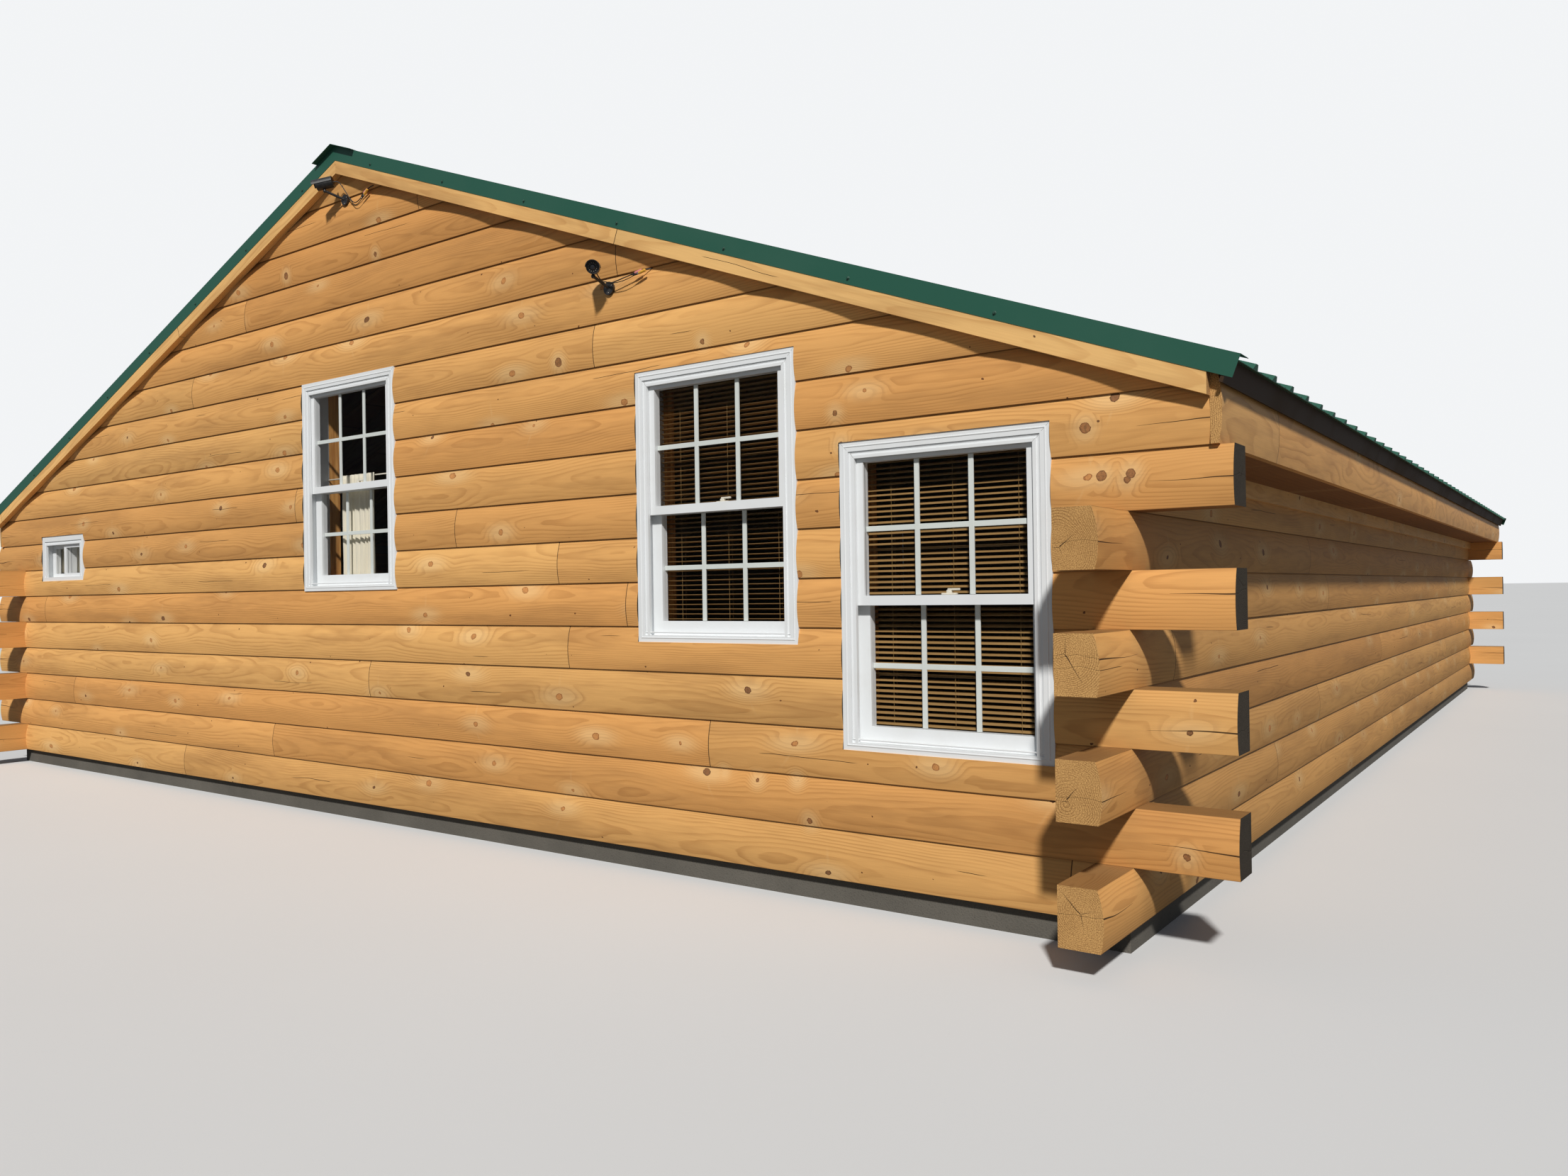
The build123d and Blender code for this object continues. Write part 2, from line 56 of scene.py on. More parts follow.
view = bpy.data.cameras.new("view")
view.lens = 26.12
view.sensor_width = 36
view.shift_x = -0.0038
view.shift_y = 0.0007
view.clip_end = 3000
viewer = new_object("viewer", view)
view_right = Vector((0.8128, 0.5823, -0.0148))
view_up = Vector((0.0137, 0.0064, 0.9999))
view_back = Vector((0.5824, -0.8129, -0.0027))
viewer.matrix_world = Matrix((view_right, view_up, view_back)).transposed().to_4x4()
viewer.matrix_world.translation = Vector((5.759, -9.607, 1.243))
bpy.context.scene.camera = viewer

# Camera leads: a thin black cable runs from each camera's back over the logs to a hole under the rake board.
# Each is one length of round vinyl-jacketed cable, stiff enough to keep its bends. The joints near its end
# are moulded plugs, one pink and one yellow, each with a black boot.


class Value:
    """What a shader node gives. Arithmetic on it adds the node that does the sum."""

    def __init__(self, socket):
        self.socket = socket

    def __add__(self, other):
        return calc("ADD", self, other)

    def __sub__(self, other):
        return calc("SUBTRACT", self, other)

    def __rsub__(self, other):
        return calc("SUBTRACT", other, self)

    def __mul__(self, other):
        return calc("MULTIPLY", self, other)

    def __truediv__(self, other):
        return calc("DIVIDE", self, other)

    def __abs__(self):
        return calc("ABSOLUTE", self)


def linear(red, green, blue):
    """A colour as seen on screen, 0 to 255, in the shader's own values."""
    parts = [part / 255 for part in (red, green, blue)]
    return (*(part / 12.92 if part <= 0.04045 else ((part + 0.055) / 1.055) ** 2.4 for part in parts), 1)


def feed(node, sockets=None, **named):
    """Give a node's inputs a value, three parts of a colour as seen on screen, or what another node gives.
    A named input has an underscore for each space in its name."""
    spaced = {key.replace("_", " "): value for key, value in named.items()}
    for key, value in ((sockets or {}) | spaced).items():
        socket = node.inputs[key]
        if isinstance(value, Value):
            node.id_data.links.new(value.socket, socket)
        elif socket.type == "RGBA" and len(value) == 3:
            socket.default_value = linear(*value)
        else:
            socket.default_value = value


def gives(node):
    """What a node gives, by place and by name."""
    return {key: Value(socket) for number, socket in enumerate(node.outputs) for key in (number, socket.name)}


def add(tree, kind, sockets=None, **settings):
    """What one new node gives, with its settings and its inputs."""
    made = tree.nodes.new(kind)
    for key, value in settings.items():
        setattr(made, key, value)
    feed(made, sockets)
    return gives(made)


def tree_of(*values):
    """The tree that the first of the nodes' values stands in."""
    return next(value.socket.id_data for value in values if isinstance(value, Value))


def calc(operation, *values):
    """The result of one step of arithmetic."""
    return add(tree_of(*values), "ShaderNodeMath", dict(enumerate(values)), operation=operation)[0]


def combined(x, y, z):
    """A point from its three parts."""
    return add(tree_of(x, y, z), "ShaderNodeCombineXYZ", {0: x, 1: y, 2: z})[0]


def separated(point):
    """A point's three parts."""
    parts = add(tree_of(point), "ShaderNodeSeparateXYZ", {0: point})
    return parts[0], parts[1], parts[2]


def blended(amount, first, second, way="MIX"):
    """Two colours mixed by an amount."""
    sockets = {0: amount, 6: first, 7: second}
    return add(tree_of(amount, first, second), "ShaderNodeMix", sockets, data_type="RGBA", blend_type=way)[2]


def coated(ground, *coats):
    """A colour under coats of others, each as thick as its amount."""
    for amount, colour in coats:
        ground = blended(amount, ground, colour)
    return ground


def ramped(value, low, high, start=0.0, end=1.0):
    """A value eased from start to end while it goes from low to high."""
    sockets = {"Value": value, "From Min": low, "From Max": high, "To Min": start, "To Max": end}
    return add(tree_of(value), "ShaderNodeMapRange", sockets, interpolation_type="SMOOTHSTEP")[0]


def noise(point, scale, detail=2.0, roughness=0.5):
    """Smooth random values from 0 to 1."""
    sockets = {"Vector": point, "Scale": scale, "Detail": detail, "Roughness": roughness}
    return add(tree_of(point), "ShaderNodeTexNoise", sockets)[0]


def node_group(name, kind, inputs, outputs):
    """An empty group of nodes, what its named inputs give, and the node that takes its results."""
    group = bpy.data.node_groups.new(name, kind)
    for way, sockets in (("INPUT", inputs), ("OUTPUT", outputs)):
        for label, holds, *value in sockets:
            made = group.interface.new_socket(label, in_out=way, socket_type=f"NodeSocket{holds}")
            if value:
                made.default_value = value[0]
    return group, gives(group.nodes.new("NodeGroupInput")), group.nodes.new("NodeGroupOutput")


def new_finish(name, **sockets):
    """A material, its one shader, and the point on the object that its patterns read."""
    finish = bpy.data.materials.new(name)
    finish.use_nodes = True
    shader = finish.node_tree.nodes["Principled BSDF"]
    feed(shader, **sockets)
    return finish, shader, add(finish.node_tree, "ShaderNodeTexCoord")["Object"]


def bumped(shader, height, distance, strength):
    """A height pattern felt as a bump."""
    sockets = {"Height": height, "Distance": distance, "Strength": strength}
    feed(shader, Normal=add(shader.id_data, "ShaderNodeBump", sockets)[0])


# Scuff is shared by plastic, paint and metal: fine pores, and dust that gathers in soft patches.
scuff, given, result = node_group(
    "scuff", "ShaderNodeTree",
    [("Point", "Vector"), ("Clean", "Color"), ("Dust", "Color"), ("Amount", "Float"), ("Size", "Float"),
     ("Base Roughness", "Float")],
    [("Color", "Color"), ("Roughness", "Float"), ("Height", "Float")],
)
patch = ramped(noise(given["Point"], given["Size"], 5, 0.6), 0.42, 0.75)
pores = noise(given["Point"], 380, 1)
feed(result, Color=blended(patch * given["Amount"], given["Clean"], given["Dust"]))
feed(result, Roughness=patch * 0.18 + given["Base Roughness"], Height=pores * 0.3 + patch * 0.4)


def scuffed(name, clean, dust, amount, size, roughness, distance=0.0004, **sockets):
    """A plastic, paint or metal finish with its dust."""
    finish, shader, point = new_finish(name, **sockets)
    looks = {"Point": point, "Clean": clean, "Dust": dust, "Amount": amount, "Size": size}
    looks["Base Roughness"] = roughness
    out = add(shader.id_data, "ShaderNodeGroup", looks, node_tree=scuff)
    feed(shader, Base_Color=out["Color"], Roughness=out["Roughness"])
    bumped(shader, out["Height"], distance, 0.5)
    return finish


def keep(name, mesh, finish, smooth=False):
    """A finished piece: its place is in its mesh, it takes one slot's finish and it stands with the cabin."""
    piece = new_object(name, mesh)
    mesh.materials.clear()
    mesh.materials.append(finish)
    for face in mesh.polygons:
        face.use_smooth = smooth
    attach(piece, "root")
    return piece


def plain(shape):
    """A mesh of a worked shape."""
    mesh = bpy.data.meshes.new("plain")
    shape.to_mesh(mesh)
    shape.free()
    return mesh


def skinned(loops, ring=False):
    """A closed skin over loops of points, in order. A ring runs on from its last loop to its first."""
    shape = bmesh.new()
    loops = [[shape.verts.new(point) for point in loop] for loop in loops]
    for first, second in zip(loops, loops[1:] + loops[:1] if ring else loops[1:]):
        for number in range(len(first)):
            after = (number + 1) % len(first)
            shape.faces.new((first[number], first[after], second[after], second[number]))
    if not ring:
        shape.faces.new(loops[0][::-1])
        shape.faces.new(loops[-1])
    bmesh.ops.recalc_face_normals(shape, faces=shape.faces)
    return plain(shape)


def spokes(way, count):
    """Steps of one metre outwards from an axis, evenly all round it."""
    across = way.orthogonal().normalized()
    turns = [2 * pi * number / count for number in range(count)]
    return [across * cos(turn) + way.cross(across) * sin(turn) for turn in turns]


def turned_part(profile, start, way, sides):
    """A turned part: profile is steps along its axis and radii."""
    start, way = Vector(start), Vector(way).normalized()
    around = spokes(way, sides)
    return skinned([[start + way * step + spoke * radius for spoke in around] for step, radius in profile])


def joined(meshes):
    """Several meshes as one."""
    whole = bmesh.new()
    for mesh in meshes:
        whole.from_mesh(mesh)
    return plain(whole)


def cable_line(name, places, diameter):
    """A round cable along a smooth line through its bends."""
    cable = bpy.data.curves.new(name, "CURVE")
    cable.dimensions = "3D"
    cable.bevel_depth = diameter / 2
    cable.bevel_resolution = 3
    cable.resolution_u = 10
    cable.use_fill_caps = True
    line = cable.splines.new("NURBS")
    line.points.add(len(places) - 1)
    for spot, place in zip(line.points, places):
        spot.co = (*place, 1)
    line.order_u = 3
    line.use_endpoint_u = True
    return new_object(name, cable)


def plain_copy(worked, **settings):
    """A plain mesh of an object as its curve or modifiers make it."""
    bpy.context.view_layer.update()
    graph = bpy.context.evaluated_depsgraph_get()
    return bpy.data.meshes.new_from_object(worked.evaluated_get(graph), depsgraph=graph, **settings)


jacket = scuffed("lead_jacket", (26, 26, 27), (92, 86, 76), 0.35, 60, 0.5)
boot_black = scuffed("plug_boots", (22, 22, 23), (84, 80, 74), 0.3, 80, 0.45)
plug_pink = scuffed("pink_plugs", (216, 134, 132), (150, 116, 106), 0.35, 90, 0.4)
plug_yellow = scuffed("yellow_plugs", (222, 170, 62), (150, 120, 76), 0.35, 90, 0.4)
plug_metal = scuffed("plug_metal", (186, 184, 178), (120, 112, 100), 0.4, 120, 0.3, Metallic=1.0)
half_width, half_length, log_thickness = 4.48, 5.85, 0.152
inner_face = half_length - log_thickness
log_foot, log_height, log_belly, log_round = 0.1, 0.2, 0.086, 0.332
ridge_z, pitch = 3.72, 0.375
roof_angle = atan(pitch)
deck_thickness, rake_width, rake_thickness = 0.038, 0.122, 0.038
rake_foot = (deck_thickness - rake_width) / cos(roof_angle)
lead_diameter, branch_diameter, lead_stub = 0.005, 0.0036, 0.026
camera_length = 0.092
boot_profile = [
    (0, 0.0021), (0.001, 0.0029), (0.007, 0.0033), (0.0075, 0.0028), (0.0095, 0.0028), (0.010, 0.0036),
    (0.015, 0.0040), (0.0155, 0.0034), (0.0175, 0.0034), (0.018, 0.0045), (0.026, 0.0052), (0.0265, 0.0040),
]
barrel_profile = [
    (0, 0.0040), (0.0008, 0.0062), (0.004, 0.0066), (0.018, 0.0066), (0.0185, 0.0058), (0.0205, 0.0058),
    (0.021, 0.0066), (0.035, 0.0064), (0.037, 0.0056), (0.0375, 0.0030),
]
collar_profile = [(0, 0.0040), (0.0005, 0.0054), (0.009, 0.0054), (0.0095, 0.0048), (0.0100, 0.0030)]
fork_profile = [
    (0, 0.0022), (0.001, 0.0034), (0.006, 0.0040), (0.018, 0.0044), (0.026, 0.0040), (0.027, 0.0024),
]
boot_length, collar_length = 0.024, 0.0085


def face_depth(height):
    """How far a round log face stands out from the wall's inner face, so high above the lowest log's foot."""
    return log_thickness - log_round + (log_round**2 - (height % log_height - log_belly) ** 2) ** 0.5


def spots(base, points):
    """Places right of, out from and above the middle of a camera's base, given in millimetres."""
    return [base + Vector((right, -out, up)) / 1000 for right, out, up in points]


camera_seats = {}
for name, length, x, drop, lean, turn, points, hole, fork, pink, branch in (
    ("upper", 0.3750, 0.03, 0.134, -0.055, -50,
     [(12, 36, 72), (34, 27, 36), (56, 21, 2), (80, 17, -28), (114, 15, -42), (150, 14, -30), (182, 13, -6),
      (210, 12, 9), (235, 10, 20)],
     (256, 29), ((60, 21, -3), (80, 17, -28)), ((186, 13, -3), (224, 11, 15)),
     [(76, 18, -24), (104, 21, -54), (140, 22, -58), (170, 22, -42), (196, 22, -22), (226, 22, 0)]),
    ("lower", 0.3903, 2.08, 0.208, -0.010, 42,
     [(-50, 26, 60), (-28, 22, 32), (4, 28, 25), (36, 30, 13), (84, 27, 21), (136, 24, 30), (178, 19, 38),
      (216, 12, 47)],
     (246, 54), ((22, 29, 17), (40, 30, 13)), ((174, 19, 37), (212, 13, 46)),
     [(38, 31, 12), (84, 33, 8), (132, 33, 12), (166, 31, 20), (194, 27, 29), (226, 22, 37)]),
):
    height = ridge_z + rake_foot - pitch * x - drop - log_foot
    seat = max(face_depth(height + 0.03 * step / 8) for step in range(-8, 9))
    base = Vector((x, -inner_face - seat, log_foot + height))
    knuckle = base + Vector((lean, -0.096, 0.038))
    middle = knuckle + Vector((0, 0, 0.04))
    aim = Matrix.Rotation(radians(turn), 3, "Z") @ Matrix.Rotation(radians(14), 3, "X") @ Vector((0, -1, 0))
    camera_seats[name] = (base, knuckle, middle, aim)
    rear = middle - aim * camera_length / 2
    hole_x, hole_up = hole[0] / 1000, hole[1] / 1000
    end = Vector((x + hole_x, -inner_face - face_depth(height + hole_up), base.z + hole_up))
    route = [rear, rear - aim * lead_stub, *spots(base, points), end]
    lead = cable_line(f"{name}_lead", route, lead_diameter)
    lead.data.materials.append(jacket)
    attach(lead, "root")

    # A moulded fork parts the cable. One core runs on through the pink plug, the other ends in a yellow one.
    thin = cable_line(f"{name}_branch", spots(base, branch), branch_diameter)
    thin_mesh = plain_copy(thin)
    bpy.data.objects.remove(thin)
    fork_start, fork_end = spots(base, fork)
    pink_start, pink_end = spots(base, pink)
    cap_start, cap_end = spots(base, branch[-2:])
    pink_way, cap_way = (pink_end - pink_start).normalized(), (cap_end - cap_start).normalized()
    boots = [
        turned_part(fork_profile, fork_start, fork_end - fork_start, 14),
        turned_part(boot_profile, pink_start - pink_way * boot_length, pink_way, 16),
        turned_part(boot_profile, cap_start - cap_way * boot_length, cap_way, 16),
    ]
    collar = turned_part(collar_profile, cap_start, cap_way, 20)
    barrels = [
        turned_part(barrel_profile, pink_start, pink_way, 20),
        turned_part(barrel_profile, cap_start + cap_way * collar_length, cap_way, 20),
    ]
    plugs = [
        keep(f"{name}_branch_cable", thin_mesh, jacket, True),
        keep(f"{name}_plug_boots", joined(boots), boot_black),
        keep(f"{name}_pink_plug", barrels[0], plug_pink),
        keep(f"{name}_plug_collar", collar, plug_metal),
        keep(f"{name}_yellow_plug", barrels[1], plug_yellow),
    ]
    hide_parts(f"{name}_camera_lead")

# Foundation: a low base of rough grey concrete, cast in place and stained in patches. Its greys are kept
# dark, partly painted shade from the logs above. It is set back under the lowest logs, so that it stays in
# their shade.
concrete, shader, point = new_finish("concrete", Roughness=0.9)
stain = noise(point, 2.2, 6, 0.65)
grit = noise(point, 160, 3)
stained_and_shaded_grey = blended(stain, (72, 69, 63), (116, 111, 102))
feed(shader, Base_Color=blended(ramped(grit, 0.55, 0.75) * 0.4, stained_and_shaded_grey, (52, 50, 46)))
bumped(shader, grit + stain, 0.003, 0.6)


def dress(finish, *names):
    """Give CAD pieces their finish."""
    for name in names:
        for place in nodes[name].material_slots:
            place.material = finish


dress(concrete, "foundation_slab")

# Timber: every log and board is sawn from one trunk model. Growth rings are cylinders round a wandering pith,
# so faces show long flame grain and ends show rings. Knots bend the grain, and each length has its own tone.
marks = ("Late", "Tone", "Bright", "Knot", "Rim", "Sound", "Halo", "Crack", "Seam", "End Crack", "Fibre")
timber_group, given, result = node_group(
    "timber", "ShaderNodeTree",
    [("Point", "Vector"), ("Foot", "Float", log_foot), ("Height", "Float", log_height),
     ("Length", "Float", 6.1), ("Wall", "Float", 1.0), ("Marked", "Float", 1.0),
     ("Ring Width", "Float", 0.0065), ("Knots", "Float", 1.0), ("End", "Float", 100.0)],
    [(mark, "Float") for mark in (*marks, "Height")],
)
along, outwards, up = separated(given["Point"])
above = up - given["Foot"]
course = calc("FLOOR", above / given["Height"])
local = above - (course + 0.5) * given["Height"]


def chance(x, y, z):
    """Three random values that are fixed for a cell."""
    cell = {"Vector": combined(x, y, z)}
    picked = add(timber_group, "ShaderNodeTexWhiteNoise", cell, noise_dimensions="3D")[1]
    return add(timber_group, "ShaderNodeSeparateColor", {0: picked})


def long_side(first, second):
    """The long side of a right-angled triangle."""
    return calc("SQRT", first * first + second * second)


course_luck = chance(course, given["Wall"], 3.5)
lengths = (course_luck[0] * given["Length"] + along) / given["Length"]
luck = chance(course, calc("FLOOR", lengths), given["Wall"])
joint = calc("PINGPONG", lengths, 0.5) * given["Length"]
joint_line = ramped(joint, 0.0012, 0.0026, 1, 0)

# Knots: one may stand in each cell along a log, large ones far apart and pin knots closer together.
# A sound knot keeps the wood's colour inside a dark rim, and a dead one is dark right through.
edge = flare = given["Marked"]
sound = 0.3
for cell_length, smallest, largest, share, sound_share, shelf in (
    (0.72, 0.007, 0.016, 0.6, 0.68, 11.0), (0.36, 0.0012, 0.0036, 0.42, 0.0, 23.0),
):
    start = luck[0] * 9.0 + along / cell_length
    cell = calc("FLOOR", start)
    row_place = course * 5.0 + given["Wall"]
    fate = chance(cell, row_place, shelf)
    kind = chance(cell, row_place, shelf + 0.5)
    seat = fate[0] * 0.6 + (cell + 0.2)
    over = local - (fate[1] - 0.5) * given["Height"]
    beside = (over * ((kind[1] - 0.5) * 0.7) + (start - seat) * cell_length) * (kind[2] * 0.35 + 0.62)
    radius = ramped(fate[2], 1.0 - share, 1.0, smallest, largest)
    missing = calc("LESS_THAN", fate[2], 1.0 - given["Knots"] * share)
    found = long_side(over, beside) - radius + missing
    if sound_share:
        flare = calc("MINIMUM", flare, long_side(over, beside * 0.5) - radius + missing)
        # Beside some sound knots a pale swirl follows the bent grain: a painted sheen, reflected light
        # painted into the colour.
        arc = abs(beside - over * over * (kind[1] * 5.0 - 2.5)) + (noise(given["Point"], 45, 2) - 0.5) * 0.012
        sheen_swirl = ramped(arc, 0.001, 0.008, 1, 0) * ramped(abs(over), 0.02, 0.13, 1, 0)
        sheen_swirl = sheen_swirl * (calc("GREATER_THAN", kind[0], 0.45) * 0.5 * (1.0 - missing))
    nearer = calc("LESS_THAN", found, edge)
    whole = calc("LESS_THAN", kind[0], sound_share)
    sound = nearer * (whole - sound) + sound
    edge = calc("MINIMUM", edge, found)
rough_edge = edge + (noise(given["Point"], 90, 2, 0.6) - 0.5) * 0.011
knot = ramped(rough_edge, -0.0012, 0.0008, 1, 0)
rim = ramped(abs(rough_edge + 0.0008), 0.0004, 0.0022, 1, 0)
# Painted sheen: the wood is painted paler close round each knot and along its swirl, standing in for
# reflected light.
knot_sheen = ramped(flare, 0.0, 0.07, 1, 0)
knot_sheen = calc("MAXIMUM", knot_sheen * knot_sheen, sheen_swirl)

# Rings: distance from a wandering pith, pushed aside where a knot comes through.
stretched = combined(luck[1] * 60.0 + along * 0.8, outwards * 3.2, up * 3.2)
wander = (noise(stretched, 1.0, 2, 0.45) - 0.5) * 0.075
ripple = (noise(stretched, 5.0, 2, 0.5) - 0.5) * 0.007
from_pith_out = outwards - (luck[2] * 0.07 + (inner_face + 0.01))
from_pith_up = local - (luck[1] - 0.5) * 0.09
grown = long_side(from_pith_out, from_pith_up) + (wander + ripple)
grown = ramped(flare, 0.0, 0.06, 1, 0) * 0.02 + grown
grown = ramped(edge, -0.002, 0.0, 1, 0) * (rough_edge * 2.6 - grown) + grown
rings = calc("FRACT", grown / given["Ring Width"])
late = ramped(rings, 0.38, 0.9) * ramped(rings, 0.92, 1.0, 1, 0)
late = late * ramped(noise(stretched, 3.1, 2), 0.3, 0.65, 0.2, 1.0)
fibre = noise(combined(along * 7.0, outwards * 190.0, up * 190.0), 1.0, 2)
bands = noise(combined(luck[0] * 40.0 + along * 0.9, outwards, up * 9.0), 1.0, 3)

# Drying checks: thin dark cracks that follow the grain for part of a log, longer ones that open towards a
# free end, and rays from the pith on the cut end itself.
drift = (noise(stretched, 2.2, 2) - 0.5) * 0.05
crack = ramped(abs(local - ((luck[2] - 0.5) * 0.12 + drift)), 0.0006, 0.0016, 1, 0)
crack = crack * ramped(noise(combined(along * 1.1, course, given["Wall"]), 1.0, 1), 0.61, 0.63)
gape = calc("MAXIMUM", 1.0 - (given["End"] - abs(along)) / (luck[0] * 0.2 + 0.2), 0.0)
off_check = abs(local + ripple * 0.8 - ((luck[1] - 0.5) * 0.06 + drift * 1.2))
check = ramped(off_check - gape * 0.0022, -0.0004, 0.0006, 1, 0) * ramped(gape, 0.0, 0.05)
crack = calc("MAXIMUM", calc("MAXIMUM", crack, check), joint_line)
end_crack = 0.0
for extra, nearest, further, half in (
    (0.0, 0.045, 0.09, 0.0020), (2.5, 0.02, 0.045, 0.0012), (4.3, 0.02, 0.05, 0.0008),
):
    ray_angle = luck[0] * 6.283 + extra
    ray_out, ray_up = calc("COSINE", ray_angle), calc("SINE", ray_angle)
    off_ray = abs(ripple * 1.6 + (from_pith_out * ray_up - from_pith_up * ray_out))
    on_ray = from_pith_out * ray_out + from_pith_up * ray_up
    thickness = (1.0 - on_ray / (luck[1] * further + nearest)) * half
    ray = ramped(off_ray - thickness, -0.0004, 0.0004, 1, 0) * ramped(on_ray, 0.0, 0.003)
    end_crack = calc("MAXIMUM", ray * calc("GREATER_THAN", thickness, 0.0), end_crack)
# Seam shadow: the wood is painted dark along each log's upper and lower edge, painted shade in the gap
# between logs.
from_edge = given["Height"] * 0.5 - abs(local)
feed(result, Late=late, Tone=course_luck[2] * 0.55 + luck[2] * 0.45, Bright=bands * 0.7 + luck[1] * 0.3)
feed(result, Knot=knot, Rim=rim, Sound=sound, Halo=knot_sheen, Seam=ramped(from_edge, 0.0004, 0.0024, 1, 0))
feed(result, Crack=crack, End_Crack=end_crack, Fibre=fibre, Height=fibre * 0.25 + late * 0.2 - crack * 1.5)


def timber(name, axis, colours, knots=(), roughness=0.62, weather_and_shade_from=0, **sizes):
    """A timber finish. axis is the way the grain runs: across the gable, along the side or down the slope.
    Nearer the middle of the cabin than weather_and_shade_from, the wood is painted grey-brown:
    partly weathering, partly painted shade between the corner tails."""
    early, late, deep, end_light, end_dark = colours
    finish, shader, point = new_finish(name, Specular_IOR_Level=0.2)
    tree = shader.id_data
    x, y, z = separated(point)
    facing = separated(add(tree, "ShaderNodeNewGeometry")["True Normal"])
    away_x, away_y = abs(x), abs(y)
    if axis == "side":
        seat = combined(y, away_x + (half_length - half_width), z)
        given = {"Point": seat, "Wall": calc("SIGN", x) * 2.0 + 5.0}
    elif axis == "gable":
        given = {"Point": combined(x, away_y, z), "Wall": calc("SIGN", y)}
    else:
        below = ridge_z - z
        slope = away_x * cos(roof_angle) + below * sin(roof_angle)
        square = away_x * sin(roof_angle) - below * cos(roof_angle)
        given = {"Point": combined(calc("SIGN", x) * 12.0 + slope, away_y, square), "Wall": calc("SIGN", y)}
    for place, size in knots:
        near = add(tree, "ShaderNodeVectorMath", {0: point, 1: place}, operation="DISTANCE")["Value"] - size
        given["Marked"] = calc("MINIMUM", given["Marked"], near) if "Marked" in given else near
    given |= {key.replace("_", " "): value for key, value in sizes.items()}
    out = add(tree, "ShaderNodeGroup", given, node_tree=timber_group)
    drawn_out = {0: given["Point"], 1: (0.55, 1.0, 4.5)}
    streaks = noise(add(tree, "ShaderNodeVectorMath", drawn_out, operation="MULTIPLY")[0], 1.5, 4, 0.7)
    aged = ramped(streaks, 0.44, 0.7, 0, 0.4)
    # Colour under coats: a deeper tone, late wood, a pale painted sheen round the knots, and streaks of age.
    body = coated(
        early, (out["Tone"] * 0.75, deep), (out["Late"] * 0.44, late), (out["Halo"] * 0.38, (246, 212, 156)),
        (aged, (166, 118, 70)),
    )
    # Behind the corner tails the side logs are painted grey-brown, partly weathering and partly painted
    # shade.
    if weather_and_shade_from:
        body = blended(ramped(away_y, weather_and_shade_from - 0.12, weather_and_shade_from, 0.25, 0), body, (150, 118, 74))
    lightness = (out["Fibre"] - 0.5) * 0.16 + (out["Bright"] * 0.44 + 0.72)
    body = blended(1.0, body, lightness, "MULTIPLY")
    rot = ramped(noise(point, 85, 2, 0.7), 0.44, 0.62) * (0.8 - out["Sound"] * 0.55)
    heart = coated((112, 60, 36), (out["Sound"], (204, 136, 76)), (rot, (74, 38, 24)))
    bark = blended(out["Sound"], (74, 42, 24), (138, 82, 44))
    # Over it: knots, late wood inside them, their rims, painted shade along the seams between logs, and
    # cracks.
    body = coated(
        body, (out["Knot"] * 0.8, heart), (out["Late"] * (out["Knot"] * 0.4), (96, 56, 32)),
        (out["Rim"] * 0.75, bark), (out["Seam"] * 0.6, (70, 44, 26)), (out["Crack"] * 0.9, (44, 28, 16)),
    )
    speck = noise(point, 560, 2, 0.6) * 0.5 + noise(point, 240, 3, 0.75) * 0.5
    cut = coated(
        end_light, (out["Late"] * 0.6, end_dark), (ramped(speck, 0.46, 0.56, 0, 0.75), end_dark),
        (out["Tone"] * 0.4, end_dark), (out["End Crack"] * 0.9, (42, 28, 18)),
    )
    at_end = ramped(abs(facing[1] if axis == "side" else facing[0]), 0.7, 0.85)
    rough = at_end * 0.3 + (out["Bright"] * 0.12 + (roughness - 0.06))
    feed(shader, Base_Color=blended(at_end, body, cut), Roughness=rough)
    bumped(shader, speck * (at_end * 0.8) + out["Height"], 0.0016, 0.7)
    return finish


# Log walls: milled pine logs, flat inside, flat above and below and rounded outside, stacked and pinned.
# At the corners one wall's logs pass and show as tails while the other wall's butt between them. Cut ends of
# the gable logs are coloured dark grey, those of the side logs golden. Behind the tails the side logs are
# painted grey-brown, partly weathering and partly painted shade.
log_tail = 0.325
pine, golden_ends = ((232, 180, 111), (170, 114, 60), (213, 145, 79)), ((228, 180, 114), (122, 82, 44))
grey_ends = ((78, 70, 60), (42, 37, 31))
big_knots = [((x, -5.848, z), size) for x, z, size in (
    (4.319, 1.790, 0.019), (4.374, 1.622, 0.018), (4.474, 1.624, 0.016), (4.462, 1.604, 0.012),
    (1.732, 2.351, 0.022), (-0.577, 3.163, 0.020), (0.298, 3.131, 0.013), (2.881, 0.464, 0.011),
    (3.081, 0.480, 0.010), (3.143, 0.320, 0.013), (2.619, 2.325, 0.012), (3.297, 1.947, 0.011),
    (3.321, 1.821, 0.011), (2.701, 0.480, 0.007), (4.640, 0.36, 0.012),
)]
gable_end, side_end = half_width + log_tail, half_length + log_tail
gable_timber = timber("gable_logs", "gable", pine + grey_ends, big_knots, End=gable_end)
side_timber = timber("side_logs", "side", pine + golden_ends, weather_and_shade_from=half_length, End=side_end)
for finish, walls in ((gable_timber, ("front", "back")), (side_timber, ("left", "right"))):
    dress(finish, *(f"{wall}_wall_{parity}_courses" for wall in walls for parity in ("even", "odd")))

# Floor: pine boards laid along the cabin, 140 mm wide, nailed down and oiled darker than the walls.
# They are sawn from the same trunk model, turned so that its middle lies level with the floor.
floor_finish, shader, point = new_finish("floor_boards", Specular_IOR_Level=0.4)
x, y, z = separated(point)
trunk_middle = 5.7
sizes = {"Point": combined(y, z + trunk_middle, x), "Foot": -5.0, "Height": 0.14, "Length": 3.6, "Knots": 0.6}
out = add(shader.id_data, "ShaderNodeGroup", sizes, node_tree=timber_group)
